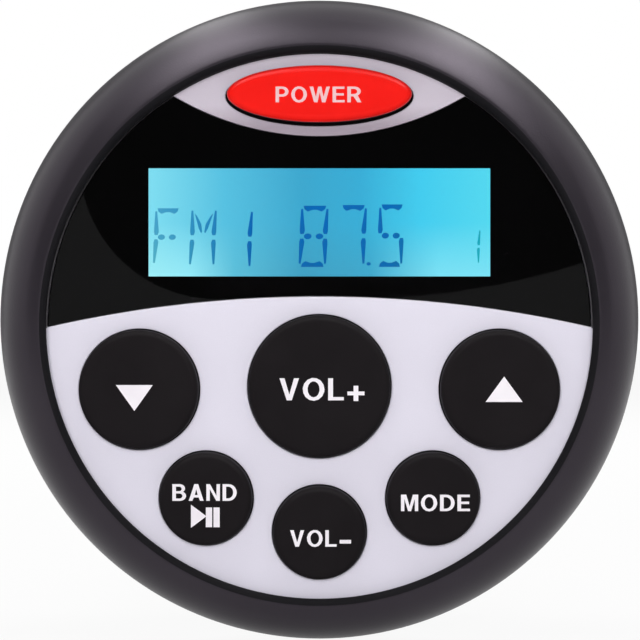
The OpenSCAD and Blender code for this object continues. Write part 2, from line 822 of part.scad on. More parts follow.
module link_ribbon() color("#b9b9bd") upright()
    translate([-ribbon_w / 2, 0, 0]) rotate([90, 0, 90]) linear_extrude(ribbon_w) polygon(concat(
        [for (i = [0 : ribbon_steps]) let (t = i / ribbon_steps) [ribbon_side(t) - ribbon_t / 2, ribbon_z(t)]],
        [for (i = [0 : ribbon_steps]) let (t = 1 - i / ribbon_steps) [ribbon_side(t) + ribbon_t / 2, ribbon_z(t)]]
    ));

module ribbon_plugs() color("#e6e2d6") upright()
    for (z = [main_front, key_board_back - plug_h])
        translate([0, ribbon_y, 0])
            from_to(z, z + plug_h) square([ribbon_w + plug_extra_w, plug_depth], center = true);

module tuner_can() color("#c8c9cc") upright()
    translate([tuner_at[0], tuner_at[1], 0])
        from_to(main_front, main_front + tuner_t) square([tuner_w, tuner_h], center = true);

module amplifier_chip() color("#161618") upright()
    from_to(amp_back, main_back) square([amp_w, amp_h], center = true);

module filter_capacitors() color("#23252c") upright()
    for (p = capacitor_row) translate([p[0], p[1], 0])
        from_to(main_front, main_front + capacitor_h) circle(d = capacitor_d);

module choke_coil() color("#b06a30") upright()
    translate([choke_at[0], choke_at[1], 0]) union() {
        from_to(main_front, main_front + choke_h / 6) circle(d = choke_d);
        from_to(main_front + choke_h / 6, main_front + choke_h * 5 / 6) circle(d = choke_d * 0.86);
        from_to(main_front + choke_h * 5 / 6, main_front + choke_h) circle(d = choke_d);
    }

// Pieces on the back

module heat_sink() color("#b4b6ba") upright() difference() {
    union() {
        from_to(sink_back, cover_back) square([sink_w, sink_h], center = true);
        from_to(cover_back, amp_back) square([pedestal_w, pedestal_h], center = true);
        for (i = [0 : fin_count - 1])
            translate([i * fin_pitch - (fin_span - fin_t) / 2, 0, 0])
                from_to(sink_back - fin_h, sink_back) square([fin_t, sink_h], center = true);
    }
    at_sink_screws()
        from_to(sink_back - over, cover_back + over) circle(d = sink_screw_d + 2 * seat_gap);
}

module heat_sink_screws() color("#c0c0c4") upright()
    at_sink_screws() translate([0, 0, sink_back]) screw(sink_screw_d, sink_base_t + cover_t);

module power_socket() color("#1c1c1f") upright() difference() {
    translate([0, power_socket_y, 0])
        from_to(power_socket_end, main_back) square([power_socket_w, power_socket_h], center = true);
    translate([0, power_socket_y, 0])
        from_to(power_socket_end - over, power_floor)
            square(
                [power_socket_w - 2 * power_socket_wall, power_socket_h - 2 * power_socket_wall],
                center = true
            );
    at_power_pins() from_to(power_floor - over, main_back + over) circle(d = power_pin_d + 2 * slim_gap);
}

module power_pins() color("#d8b04a") upright()
    at_power_pins() from_to(power_pin_end, power_pin_tail) circle(d = power_pin_d);

module antenna_socket() color("#c4c5c9") upright() at_antenna() difference() {
    union() {
        from_to(antenna_end, main_back) circle(d = antenna_d);
        from_to(cover_back - antenna_ring_t, cover_back) circle(d = antenna_ring_d);
    }
    from_to(antenna_end - over, antenna_floor) circle(d = antenna_bore_d);
    from_to(antenna_floor, main_back + over) circle(d = antenna_core_d);
}

module antenna_insulator() color("#f0efe8") upright() at_antenna()
    from_to(antenna_floor, main_back)
        ring(antenna_core_d - 2 * slim_gap, antenna_pin_d + 2 * contact_t + 2 * slim_gap);

module antenna_contact() color("#d8b04a") upright() at_antenna()
    from_to(antenna_floor, main_back) ring(antenna_pin_d + 2 * contact_t, antenna_pin_d);

module line_out_shells() color("#c9b06a") upright() at_lines() difference() {
    union() {
        from_to(line_step, main_back) circle(d = line_base_d);
        from_to(line_end, line_step) circle(d = line_d);
    }
    from_to(line_end - over, main_back + over) circle(d = line_core_d);
}

module line_out_insulators() color("#efeee6") upright() at_lines()
    from_to(line_core_end, main_back)
        ring(line_core_d - 2 * slim_gap, line_pin_d + 2 * contact_t + 2 * slim_gap);

module line_out_contacts() color("#d8b04a") upright() at_lines()
    from_to(line_core_end, main_back) ring(line_pin_d + 2 * contact_t, line_pin_d);

module mounting_studs() color("#bcbec2") upright() at_studs() union() {
    from_to(cover_front, cover_front + stud_head_h) circle(d = stud_head_d, $fn = 6);
    from_to(stud_tip - stud_reach, cover_front) circle(d = stud_d);
    translate([0, 0, -stud_reach]) cylinder(h = stud_tip, d1 = stud_d - 2 * stud_tip, d2 = stud_d);
}

module stud_nuts() color("#bcbec2") upright() at_studs()
    from_to(cover_back - stud_nut_h, cover_back) difference() {
        circle(d = stud_nut_d, $fn = 6);
        circle(d = stud_d + 2 * slim_gap);
    }

// A U-shaped outline, open at the front, with two rounded corners at the back
module u_outline(half_w, z_back, z_front, r) {
    translate([-half_w, z_back + r]) square([2 * half_w, z_front - z_back - r]);
    translate([-half_w + r, z_back]) square([2 * (half_w - r), 2 * r]);
    for (s = [-1, 1]) translate([s * (half_w - r), z_back + r]) circle(r = r);
}

// The clamp's bent strip, seen along its width: strap, two legs and two feet turned outwards
module clamp_outline() difference() {
    union() {
        u_outline(leg_x + clamp_t, strap_back, -dash_t, bend_r + clamp_t);
        translate([-leg_x - clamp_t - foot_w, -dash_t - clamp_t])
            square([2 * (leg_x + clamp_t + foot_w), clamp_t]);
    }
    u_outline(leg_x, strap_front, -dash_t + over, bend_r);
}

module clamp_bracket() color("#a9abaf") upright() difference() {
    translate([0, clamp_w / 2, 0]) rotate([90, 0, 0]) linear_extrude(clamp_w) clamp_outline();
    at_studs() from_to(strap_back - over, strap_front + over) circle(d = stud_d + 2 * stud_slack);
}

module lock_washers() color("#c6c8cc") upright() at_studs()
    from_to(washer_back, strap_back) ring(washer_d, stud_d + 2 * seat_gap);

// A thumb nut: a plain collar against the washer and a grooved grip behind it
module thumb_nut(side) upright() translate([side * stud_x, 0, 0]) difference() {
    union() {
        from_to(washer_back - thumb_collar_h, washer_back) circle(d = thumb_collar_d);
        from_to(thumb_back, washer_back - thumb_collar_h) circle(d = thumb_d);
    }
    from_to(thumb_back - over, washer_back + over) circle(d = stud_d + 2 * slim_gap);
    for (i = [0 : thumb_grooves - 1]) rotate(i * 360 / thumb_grooves) translate([thumb_d / 2, 0, 0])
        from_to(thumb_back - over, washer_back - thumb_collar_h) circle(d = thumb_groove_d);
}

module thumb_nut_left() color("#26262a") thumb_nut(-1);

module thumb_nut_right() color("#26262a") thumb_nut(1);

bezel_ring();
front_panel();
display_lens();
lens_mask();
lcd_glass();
lcd_frame();
light_guide();
backlight_leds();
keypad_mat();
key_board();
key_contacts();
board_screws();
control_chip();
front_seal();
dash_gasket();
barrel_housing();
bezel_screws();
rear_seal();
rear_cover();
rear_cover_screws();
main_board();
main_board_screws();
link_ribbon();
ribbon_plugs();
tuner_can();
amplifier_chip();
heat_sink();
heat_sink_screws();
filter_capacitors();
choke_coil();
power_socket();
power_pins();
antenna_socket();
antenna_insulator();
antenna_contact();
line_out_shells();
line_out_insulators();
line_out_contacts();
mounting_studs();
stud_nuts();
clamp_bracket();
lock_washers();
thumb_nut_left();
thumb_nut_right();
for (k = KEYS) {
    key_colour(k);
    pill(k);
}
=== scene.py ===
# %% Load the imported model
import json
import math

import bpy
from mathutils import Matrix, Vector


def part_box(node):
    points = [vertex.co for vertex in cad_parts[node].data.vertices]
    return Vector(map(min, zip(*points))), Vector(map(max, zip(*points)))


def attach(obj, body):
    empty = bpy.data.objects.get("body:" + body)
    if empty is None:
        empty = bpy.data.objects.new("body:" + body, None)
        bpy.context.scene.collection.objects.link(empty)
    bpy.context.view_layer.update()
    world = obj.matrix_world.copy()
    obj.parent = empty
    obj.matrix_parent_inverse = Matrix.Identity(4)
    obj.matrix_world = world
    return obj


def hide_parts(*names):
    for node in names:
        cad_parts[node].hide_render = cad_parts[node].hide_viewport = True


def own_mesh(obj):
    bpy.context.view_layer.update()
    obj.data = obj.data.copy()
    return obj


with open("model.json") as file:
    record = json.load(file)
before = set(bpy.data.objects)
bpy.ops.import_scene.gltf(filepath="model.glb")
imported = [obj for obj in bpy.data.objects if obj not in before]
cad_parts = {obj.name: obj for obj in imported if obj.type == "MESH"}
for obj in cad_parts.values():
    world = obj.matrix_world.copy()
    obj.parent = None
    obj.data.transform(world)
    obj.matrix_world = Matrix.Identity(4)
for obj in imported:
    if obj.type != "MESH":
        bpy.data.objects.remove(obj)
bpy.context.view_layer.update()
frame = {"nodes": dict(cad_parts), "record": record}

MM = 0.001
record = frame["record"]
slot_of = {part["node"]: part["material_slot"] for part in record["subparts"]}
body_of = {node: body for body, nodes in record["behaviour"]["bodies"].items() for node in nodes}

# %% [markdown]
# The stereo is a round instrument for a boat's dash: a domed ring, a silver face behind it, a lit
# display under a black window, seven rubber keys, and behind the dash a sealed barrel with sockets
# and a clamp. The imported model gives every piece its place. Here the pieces get their rounded
# edges, threads, printing and finishes. Sizes are in millimetres, as on a workshop drawing, and the
# helpers turn them into Blender's metres. The face looks along -Y, so a smaller y is nearer to us.

# %% Helpers that measure and select
def box_mm(node):
    """The lowest and highest corner of a CAD node, in millimetres."""
    low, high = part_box(node)
    return low / MM, high / MM


def middle_of(node):
    """The middle of a CAD node across the face, as x and z in millimetres."""
    low, high = box_mm(node)
    return (low.x + high.x) / 2, (low.z + high.z) / 2


def pick(piece):
    """Makes a piece the one selected and active object."""
    bpy.ops.object.select_all(action="DESELECT")
    piece.select_set(True)
    bpy.context.view_layer.objects.active = piece


def open_all():
    """Opens the active piece in edit mode, with all of it selected."""
    bpy.ops.object.mode_set(mode="EDIT")
    bpy.ops.mesh.select_all(action="SELECT")


def settle():
    """Puts the selected piece's place, turn and size into its mesh."""
    bpy.ops.object.transform_apply(location=True, rotation=True, scale=True)


def christen(piece, name):
    """Names a piece and its mesh."""
    piece.name = name
    piece.data.name = name
    return piece


def smooth(piece, angle=40.0):
    """Shades a piece smooth, apart from edges sharper than an angle in degrees."""
    pick(piece)
    bpy.ops.object.shade_smooth_by_angle(angle=math.radians(angle))


print("face plate at y =", round(box_mm("front_panel")[0].y, 2), "mm")

# %% [markdown]
# Most of the pieces are turned, so one helper works like a lathe. It adds a circle of edges and
# takes it from station to station with extrude, resize and, where a rim leans, rotate. A station is
# a radius and a depth, then a drop of its centre and a tilt where they are needed. Stretch makes the
# rings oval, for the power key. Spin would do for plain rounds, but it couldn't shift the centre,
# and the face sits a millimetre below the middle of the ring.

# %% A lathe made of extruded rings
LARGE_ROUND = 192
SMALL_ROUND = 72
RING_WELD = 0.001


def turned(name, stations, at=(0.0, 0.0), sides=LARGE_ROUND, stretch=0.0):
    """Lathes a closed piece along Y through stations of radius, depth, drop and tilt."""
    radius, depth, drop, tilt = (*stations[0], 0.0, 0.0)[:4]
    bpy.ops.object.select_all(action="DESELECT")
    bpy.ops.mesh.primitive_circle_add(
        vertices=sides,
        radius=radius * MM,
        location=(at[0] * MM, depth * MM, (at[1] + drop) * MM),
        rotation=(math.radians(90), 0.0, 0.0),
    )
    piece = christen(bpy.context.object, name)
    middle = tuple(piece.location)
    settle()
    open_all()
    bpy.ops.transform.resize(value=((radius + stretch) / radius, 1.0, 1.0), center_override=middle)
    for station in stations[1:]:
        new_radius, new_depth, new_drop, new_tilt = (*station, 0.0, 0.0)[:4]
        step = (0.0, (new_depth - depth) * MM, (new_drop - drop) * MM)
        bpy.ops.mesh.extrude_region_move(TRANSFORM_OT_translate={"value": step})
        middle = (at[0] * MM, new_depth * MM, (at[1] + new_drop) * MM)
        growth = ((new_radius + stretch) / (radius + stretch), 1.0, new_radius / radius)
        bpy.ops.transform.resize(value=growth, center_override=middle)
        if new_tilt != tilt:
            bpy.ops.transform.rotate(value=new_tilt - tilt, orient_axis="X", center_override=middle)
        radius, depth, drop, tilt = new_radius, new_depth, new_drop, new_tilt
    bpy.ops.mesh.select_all(action="SELECT")
    bpy.ops.mesh.remove_doubles(threshold=RING_WELD * MM)
    bpy.ops.mesh.fill_holes(sides=0)
    bpy.ops.mesh.normals_make_consistent(inside=False)
    bpy.ops.object.mode_set(mode="OBJECT")
    smooth(piece)
    return piece


def arc(radius, depth, size, start, end, steps):
    """Stations along an arc round a point, with 0 degrees outwards and 90 towards the front."""
    turns = [math.radians(start + (end - start) * i / steps) for i in range(steps + 1)]
    return [(radius + size * math.cos(a), depth - size * math.sin(a)) for a in turns]


print("lathe ready, with", LARGE_ROUND, "and", SMALL_ROUND, "sides")

# %% [markdown]
# Three jobs come back on many pieces: cutting one shape with another, breaking sharp edges, and
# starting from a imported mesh. A Boolean, a Bevel and a copy do them. After a bevel the flat faces
# would look puffy, because they share their corners with the rounding, so weighted normals are
# applied as well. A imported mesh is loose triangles, so a copy is merged and its flat faces dissolved.

# %% Helpers that cut, round and copy
SHARP = 35.0
FLAT = 0.6
COPY_WELD, BEVEL_WELD, SLIVER = 0.002, 0.01, 0.005


def carve(piece, cutter):
    """Cuts a piece with another, which is used up."""
    cut = piece.modifiers.new("cut", "BOOLEAN")
    cut.operation = "DIFFERENCE"
    cut.solver = "EXACT"
    cut.object = cutter
    pick(piece)
    bpy.ops.object.modifier_apply(modifier=cut.name)
    bpy.data.objects.remove(cutter, do_unlink=True)


def keep_flat(piece):
    """Shades a bevelled piece smooth, with normals that leave its flat faces flat."""
    smooth(piece)
    flat = piece.modifiers.new("flat faces", "WEIGHTED_NORMAL")
    flat.weight = 100
    flat.keep_sharp = True
    bpy.ops.object.modifier_apply(modifier=flat.name)


def soften(piece, width, segments=3):
    """Rounds a piece's sharp edges by a width in millimetres."""
    smooth(piece)
    bevel = piece.modifiers.new("soft edges", "BEVEL")
    bevel.width = width * MM
    bevel.segments = segments
    bevel.limit_method = "ANGLE"
    bevel.angle_limit = math.radians(SHARP)
    bevel.use_clamp_overlap = False
    bpy.ops.object.modifier_apply(modifier=bevel.name)
    open_all()
    bpy.ops.mesh.remove_doubles(threshold=BEVEL_WELD * MM)
    bpy.ops.mesh.dissolve_degenerate(threshold=SLIVER * MM)
    bpy.ops.object.mode_set(mode="OBJECT")
    keep_flat(piece)
    return piece


def copied(node, name):
    """Copies a CAD node's mesh, merges its loose triangles and dissolves its flat faces."""
    piece = bpy.data.objects.new(name, frame["nodes"][node].data.copy())
    piece.data.name = name
    bpy.context.scene.collection.objects.link(piece)
    pick(piece)
    open_all()
    bpy.ops.mesh.remove_doubles(threshold=COPY_WELD * MM)
    bpy.ops.mesh.dissolve_limited(angle_limit=math.radians(FLAT))
    bpy.ops.object.mode_set(mode="OBJECT")
    return piece


def block(name, low, high):
    """A box between two corners in millimetres, as a cutter or as a start."""
    bpy.ops.object.select_all(action="DESELECT")
    centre = [(a + b) / 2 * MM for a, b in zip(low, high)]
    bpy.ops.mesh.primitive_cube_add(size=1.0, location=centre)
    bpy.ops.transform.resize(value=[(b - a) * MM for a, b in zip(low, high)])
    piece = christen(bpy.context.object, name)
    settle()
    return piece


print("edges sharper than", SHARP, "degrees get rounded")

# %% [markdown]
# A material starts from what the real surface is and how it was made. Colours are written as sRGB
# hex values, as a colour picker shows them, and one function turns them to the linear values that a
# shader works in. One small function adds a node with its settings, colour stops and links, or does
# the same for a node that is there already, such as the shader. Where a link starts at a node's first
# output, the node alone is named. Patterns are sized in millimetres on Object coordinates, which stay
# with a piece however it is turned.

# %% Helpers for materials
finish = {}


def linear(hex_colour):
    """Turns an sRGB hex colour into linear red, green, blue and alpha."""
    parts = [int(hex_colour[i:i + 2], 16) / 255 for i in (1, 3, 5)]
    return tuple(c / 12.92 if c <= 0.04045 else ((c + 0.055) / 1.055) ** 2.4 for c in parts) + (1.0,)


def per_mm(size):
    """The scale of a pattern whose features are a size in millimetres."""
    return 1.0 / (size * MM)


def add(material, node, inputs, stops=(), **settings):
    """Adds a node of a kind, or takes one, and sets its properties, colour stops, links and inputs."""
    if isinstance(node, str):
        node = material.node_tree.nodes.new("ShaderNode" + node)
    for name, value in settings.items():
        setattr(node, name, value)
    for extra in stops[2:]:
        node.color_ramp.elements.new(0.5)
    for i, (place, colour) in enumerate(stops):
        node.color_ramp.elements[i].position = place
        node.color_ramp.elements[i].color = linear(colour)
    for name, value in inputs.items():
        if isinstance(value, bpy.types.Node):
            value = value.outputs[0]
        if isinstance(value, bpy.types.NodeSocket):
            material.node_tree.links.new(value, node.inputs[name])
        else:
            node.inputs[name].default_value = value
    return node


def start(slot, name, **sockets):
    """Starts the material of a slot, and gives it with its shader and its Object coordinates."""
    material = bpy.data.materials.new(name)
    material.use_nodes = True
    shader = material.node_tree.nodes["Principled BSDF"]
    for socket, value in sockets.items():
        shader.inputs[socket.replace("_", " ")].default_value = value
    finish[slot] = material
    return material, shader, add(material, "TexCoord", {}).outputs["Object"]


print("linear mid grey:", round(linear("#808080")[0], 4))

# %% [markdown]
# The mouldings are plastic from a spark-textured mould, ABS for the ring. The eye sees a satin charcoal with
# a fine even grain, a little cloudier in some places than in others, and a soft highlight along each edge.
# One function makes them all, from two near colours, a roughness, a grain and its depth. The grain of the
# real mould is about 0.1 mm, too fine for the render, so it is drawn two to three times as coarse. The ring's
# highlights have a hint of violet, so its reflections are tinted. The wall inside its lip is matte, and its
# colour is a shade darker than the ring's as painted shade, so that it stays dark.

# %% Moulded plastics
CLOUD = 9.0
GLOSS_RANGE = 0.05
VIOLET = linear("#fcefff")


def moulded(slot, name, colours, roughness, grain, depth, **sockets):
    """A moulded plastic with cloudy colour and a fine raised grain, sized in millimetres."""
    material, shader, where = start(slot, name, **sockets)
    cloud = add(material, "TexNoise", {"Vector": where, "Scale": per_mm(CLOUD), "Detail": 3.0})
    tone = add(material, "ValToRGB", {"Fac": cloud}, ((0.35, colours[0]), (0.65, colours[1])))
    pits = add(material, "TexNoise", {"Vector": where, "Scale": per_mm(grain), "Detail": 2.0})
    limits = {"To Min": roughness - GLOSS_RANGE, "To Max": roughness + GLOSS_RANGE}
    gloss = add(material, "MapRange", {"Value": pits, **limits})
    bump = add(material, "Bump", {"Height": pits, "Distance": depth * MM})
    add(material, shader, {"Base Color": tone, "Roughness": gloss, "Normal": bump})


moulded("bezel_plastic", "charcoal_abs", ("#19161b", "#1c191e"), 0.33, 0.3, 0.015, Specular_Tint=VIOLET)
# The wall inside the lip: a matte finish, with a colour a shade darker than the ring's as painted shade.
moulded("shaded_matte_wall", "shaded_matte_charcoal_abs", ("#131215", "#161518"), 0.8, 0.3, 0.02, Specular_IOR_Level=0.1)
moulded("housing_plastic", "black_nylon", ("#1d1d20", "#242427"), 0.5, 0.4, 0.03)
moulded("socket_plastic", "black_polyester", ("#18181a", "#1f1f21"), 0.42, 0.3, 0.02)
moulded("nut_plastic", "black_acetal", ("#202023", "#28282b"), 0.38, 0.3, 0.015)
moulded("white_plastic", "white_polycarbonate", ("#e0dfd9", "#eae9e4"), 0.45, 0.3, 0.01)
moulded("red_plastic", "red_polycarbonate", ("#a8171a", "#b41d1f"), 0.45, 0.3, 0.01)
moulded("chip_epoxy", "black_epoxy", ("#131315", "#1b1b1d"), 0.55, 0.2, 0.02)
moulded("lamp", "diode_resin", ("#f2edcf", "#faf6e2"), 0.3, 0.3, 0.005)
moulded("capacitor_sleeve", "shrunk_sleeve", ("#1c2029", "#252a35"), 0.25, 0.5, 0.008)
moulded("mask_ink", "black_screen_print", ("#030203", "#050405"), 0.6, 0.15, 0.004, Specular_IOR_Level=0.0)
print("moulded plastics:", sorted(finish))

# %% [markdown]
# The keys are silicone rubber. It scatters light, so it is matte and a touch warm, and fine dust in
# the mould leaves small pores. The seals are a black foam with open cells, and the pills under the
# domes are rubber filled with carbon. The same recipe as the plastics serves for the plain rubbers.
# The foam has round cells from a Voronoi pattern. The power key is a firmer, glossier red rubber.

# %% Rubbers
FOAM_CELL, FOAM_DEPTH = 0.7, 0.2
moulded("key_rubber", "black_silicone", ("#151214", "#181517"), 0.58, 0.22, 0.012, Specular_IOR_Level=0.08)
moulded("silicone", "grey_silicone", ("#444448", "#4e4e52"), 0.6, 0.3, 0.01)
moulded("carbon", "carbon_rubber", ("#202020", "#2a2a2a"), 0.7, 0.15, 0.01)
moulded("red_key", "red_silicone", ("#e60c02", "#ea1006"), 0.36, 0.35, 0.003, Specular_IOR_Level=0.2)

foam, foam_shader, foam_at = start("seal_rubber", "black_foam", Roughness=0.85)
cells = add(foam, "TexVoronoi", {"Vector": foam_at, "Scale": per_mm(FOAM_CELL)})
foam_tone = add(foam, "ValToRGB", {"Fac": cells}, ((0.1, "#0c0c0d"), (0.6, "#1e1e20")))
foam_bump = add(foam, "Bump", {"Height": cells, "Distance": FOAM_DEPTH * MM})
add(foam, foam_shader, {"Base Color": foam_tone, "Normal": foam_bump})
print("rubbers:", "key_rubber", "silicone", "carbon", "red_key", "seal_rubber")

# %% [markdown]
# The face is ABS sprayed with silver paint: aluminium flakes in a clear binder, under a satin lacquer. The
# eye sees a pale cool grey with a hint of lilac and a faint sparkle. The flakes are far finer than a pixel,
# so they are drawn as 0.2 mm specks that only change the tone a little. The tone also changes with height, in
# one ramp for the dull flakes and one for the bright ones, and this change is painted shade: the apron is the
# palest, the brow is a shade greyer as painted shade from the ring's lip above it, and the narrow strip under
# the power key is the darkest, as a painted shadow of that key. The change from apron to brow is out of sight
# behind the window.

# %% Silver paint
face_low, face_high = box_mm("front_panel")
FACE_R = face_high.x
FACE_DROP = (face_low.z + face_high.z) / 2
FACE_Y = face_low.y
WINDOW_R = FACE_R - 1.5
FLAKE, FLAKE_DEPTH = 0.2, 0.004
TONE_TOP = 40.0
# Painted shade: the stops from 24.8 to 30.8 mm are a painted shadow under the power key, and the stop at 34.4
# mm is the brow's painted shade from the ring's lip.
TONES_WITH_PAINTED_SHADE = (
    (10.0, "#d8d4e1", "#dedae7"),
    (24.8, "#9b8f9b", "#a296a2"),
    (30.8, "#9b8f9b", "#a296a2"),
    (34.4, "#c1b8c4", "#c8bfcb"),
)
paint, paint_shader, paint_at = start("silver_panel", "silver_painted_abs", Metallic=0.05, Roughness=0.5)
flakes = add(paint, "TexNoise", {"Vector": paint_at, "Scale": per_mm(FLAKE), "Detail": 1.0})
axes = add(paint, "SeparateXYZ", {"Vector": paint_at})
shade_height = add(paint, "MapRange", {"Value": axes.outputs["Z"], "From Max": TONE_TOP * MM})
dull, bright = [
    add(paint, "ValToRGB", {"Fac": shade_height}, [(tone[0] / TONE_TOP, tone[flake]) for tone in TONES_WITH_PAINTED_SHADE])
    for flake in (1, 2)
]
# The flake tones carry the painted shade of the brow and the painted shadow under the power key.
sprayed_and_shaded = add(paint, "MixRGB", {"Fac": flakes, "Color1": dull, "Color2": bright})
print("silver tones up to", TONE_TOP, "mm above the middle")

# %% [markdown]
# Beside the window a narrow rim of the panel shows between the lens and the ring. It lies in shade
# there and looks almost black. A second material on a few faces would need the panel to be cut along
# that line, so the paint itself picks the rim out, by its radius and by a band of heights.

# %% Dark rim of the panel
RIM_MIDDLE, RIM_REACH = 17.6, 19.0
from_middle = {"Location": (0.0, 0.0, -FACE_DROP * MM), "Scale": (1.0, 0.0, 1.0)}
across = add(paint, "Mapping", {"Vector": paint_at, **from_middle})
radius = add(paint, "VectorMath", {0: across}, operation="LENGTH").outputs["Value"]
rim = add(paint, "Math", {0: radius, 1: WINDOW_R * MM}, operation="GREATER_THAN")
window_span = {0: axes.outputs["Z"], 1: RIM_MIDDLE * MM, 2: RIM_REACH * MM}
beside = add(paint, "Math", window_span, operation="COMPARE")
dark_rim = add(paint, "Math", {0: rim, 1: beside}, operation="MULTIPLY")
tone = add(paint, "MixRGB", {"Fac": dark_rim, "Color1": sprayed_and_shaded, "Color2": linear("#4a474b")})
bump = add(paint, "Bump", {"Height": flakes, "Distance": FLAKE_DEPTH * MM})
add(paint, paint_shader, {"Base Color": tone, "Normal": bump})
print("silver paint on", slot_of["front_panel"])

# %% [markdown]
# The metals differ by how they were made. Rolled strip and turned screws have fine lines along one
# direction, an extruded heat sink has lines along its length, and plated shells are almost smooth.
# A noise that is stretched by a Mapping node draws such lines. The stretch is a length along each
# axis in millimetres, so a long value is the direction of the lines.

# %% Metals
LINE_GLOSS = 0.06


def drawn_metal(slot, name, colours, roughness, stretch, depth):
    """A metal with fine lines, whose lengths along x, y and z are in millimetres."""
    material, shader, where = start(slot, name, Metallic=1.0)
    scale = [per_mm(length) for length in stretch]
    lines_at = add(material, "Mapping", {"Vector": where, "Scale": scale})
    lines = add(material, "TexNoise", {"Vector": lines_at, "Scale": 1.0, "Detail": 3.0})
    tone = add(material, "ValToRGB", {"Fac": lines}, ((0.3, colours[0]), (0.7, colours[1])))
    limits = {"To Min": roughness - LINE_GLOSS, "To Max": roughness + LINE_GLOSS}
    gloss = add(material, "MapRange", {"Value": lines, **limits})
    bump = add(material, "Bump", {"Height": lines, "Distance": depth * MM})
    add(material, shader, {"Base Color": tone, "Roughness": gloss, "Normal": bump})


drawn_metal("screw_steel", "turned_stainless", ("#a9aaae", "#c4c5c8"), 0.28, (0.3, 3.0, 0.3), 0.004)
drawn_metal("clamp_steel", "rolled_stainless", ("#a2a4a8", "#bcbec2"), 0.32, (8.0, 8.0, 0.25), 0.006)
drawn_metal("tin_plate", "tinned_steel", ("#b9babd", "#cfd0d2"), 0.3, (3.0, 3.0, 3.0), 0.003)
drawn_metal("sink_aluminium", "extruded_aluminium", ("#a9abaf", "#c0c2c5"), 0.4, (0.25, 0.25, 10.0), 0.006)
drawn_metal("nickel_shell", "nickel_plate", ("#b9b7b2", "#cac8c4"), 0.16, (2.0, 0.5, 2.0), 0.002)
drawn_metal("gold_shell", "gold_plated_brass", ("#c9a04e", "#d9b668"), 0.2, (2.0, 0.5, 2.0), 0.002)
drawn_metal("gold_contact", "gold_flash", ("#cfa348", "#dfb968"), 0.24, (1.0, 0.6, 1.0), 0.002)
drawn_metal("copper_winding", "enamelled_copper", ("#7c3f1c", "#c07a40"), 0.3, (9.0, 0.5, 9.0), 0.08)
print("materials with the metals:", len(finish))

# %% [markdown]
# The lens is cast acrylic, polished, with an index of refraction of 1.49. Nothing is quite clean, so
# a soft noise makes its gloss vary as a wiped surface does. The light guide is the same acrylic with
# a frosted back. Green solder resist over copper gives a circuit board its tracks, which a brick
# pattern stands for. The ribbon cable is grey PVC with a groove between its conductors, drawn as a
# wave, which at a scale of 1 repeats every tau / 20.

# %% Acrylic, boards and ribbon
WIPE, TRACK, WIRE_PITCH = 14.0, 4.0, 1.27


def acrylic(slot, name, tint, low, high):
    """A clear plastic whose roughness varies between two values as on a wiped surface."""
    clear = {"Transmission_Weight": 1.0, "IOR": 1.49, "Base_Color": linear(tint)}
    material, shader, where = start(slot, name, **clear)
    wipe = add(material, "TexNoise", {"Vector": where, "Scale": per_mm(WIPE), "Detail": 2.0})
    gloss = add(material, "MapRange", {"Value": wipe, "To Min": low, "To Max": high})
    add(material, shader, {"Roughness": gloss})


acrylic("lens_acrylic", "polished_acrylic", "#fbfcfd", 0.0, 0.02)
acrylic("guide_acrylic", "frosted_acrylic", "#eef8fc", 0.2, 0.35)

board, board_shader, board_at = start("circuit_board", "solder_resist", Roughness=0.35)
resist = {"Color1": linear("#1d5631"), "Color2": linear("#1a4d2c"), "Mortar": linear("#2f7a46")}
track_size = {"Vector": board_at, "Scale": per_mm(TRACK), "Mortar Size": 0.08}
add(board, board_shader, {"Base Color": add(board, "TexBrick", {**track_size, **resist})})

ribbon, ribbon_shader, ribbon_at = start("ribbon_pvc", "grey_pvc", Roughness=0.45)
wire_size = {"Vector": ribbon_at, "Scale": per_mm(WIRE_PITCH) * math.tau / 20}
wires = add(ribbon, "TexWave", wire_size, bands_direction="X").outputs["Fac"]
grooves = add(ribbon, "ValToRGB", {"Fac": wires}, ((0.1, "#96969a"), (0.5, "#b9b9bd")))
add(ribbon, ribbon_shader, {"Base Color": grooves})
print("materials so far:", len(finish))

# %% [markdown]
# The display is a liquid-crystal cell with a cyan backlight. Lamps at its two ends make the ends
# paler and the middle bluer, so a ramp along x sets the glow, and a second one lifts the lower half,
# most of all at its bottom edge. It emits its colour at a strength of about 1, so it reads as bright
# as it is written. The dark segments block most of the red and part of the green, so their own ramps
# run from teal through blue.

# %% Glow of the display
VIEW_W, VIEW_H = 55.0, 17.4
LOW_PART = 0.5
GLOW = 1.06
view_x, view_z = middle_of("lcd_glass")


def glowing(slot, name, high, low):
    """A lit surface whose colour runs along the display, from one ramp at its top to another below."""
    dark = {"Base_Color": linear("#020405"), "Roughness": 0.3, "Specular_IOR_Level": 0.1}
    material, shader, where = start(slot, name, Emission_Strength=GLOW, **dark)
    shift = (0.5, 0.0, 0.5 - view_z / VIEW_H)
    scale = (per_mm(VIEW_W), 1.0, per_mm(VIEW_H))
    place = add(material, "Mapping", {"Vector": where, "Location": shift, "Scale": scale})
    axes = add(material, "SeparateXYZ", {"Vector": place})
    rise = add(material, "MapRange", {"Value": axes.outputs["Z"], "From Max": LOW_PART})
    above = add(material, "ValToRGB", {"Fac": axes.outputs["X"]}, high)
    below = add(material, "ValToRGB", {"Fac": axes.outputs["X"]}, low)
    halves = {"Fac": rise, "Color1": below, "Color2": above}
    glow = add(material, "MixRGB", halves, use_clamp=True)
    add(material, shader, {"Emission Color": glow})


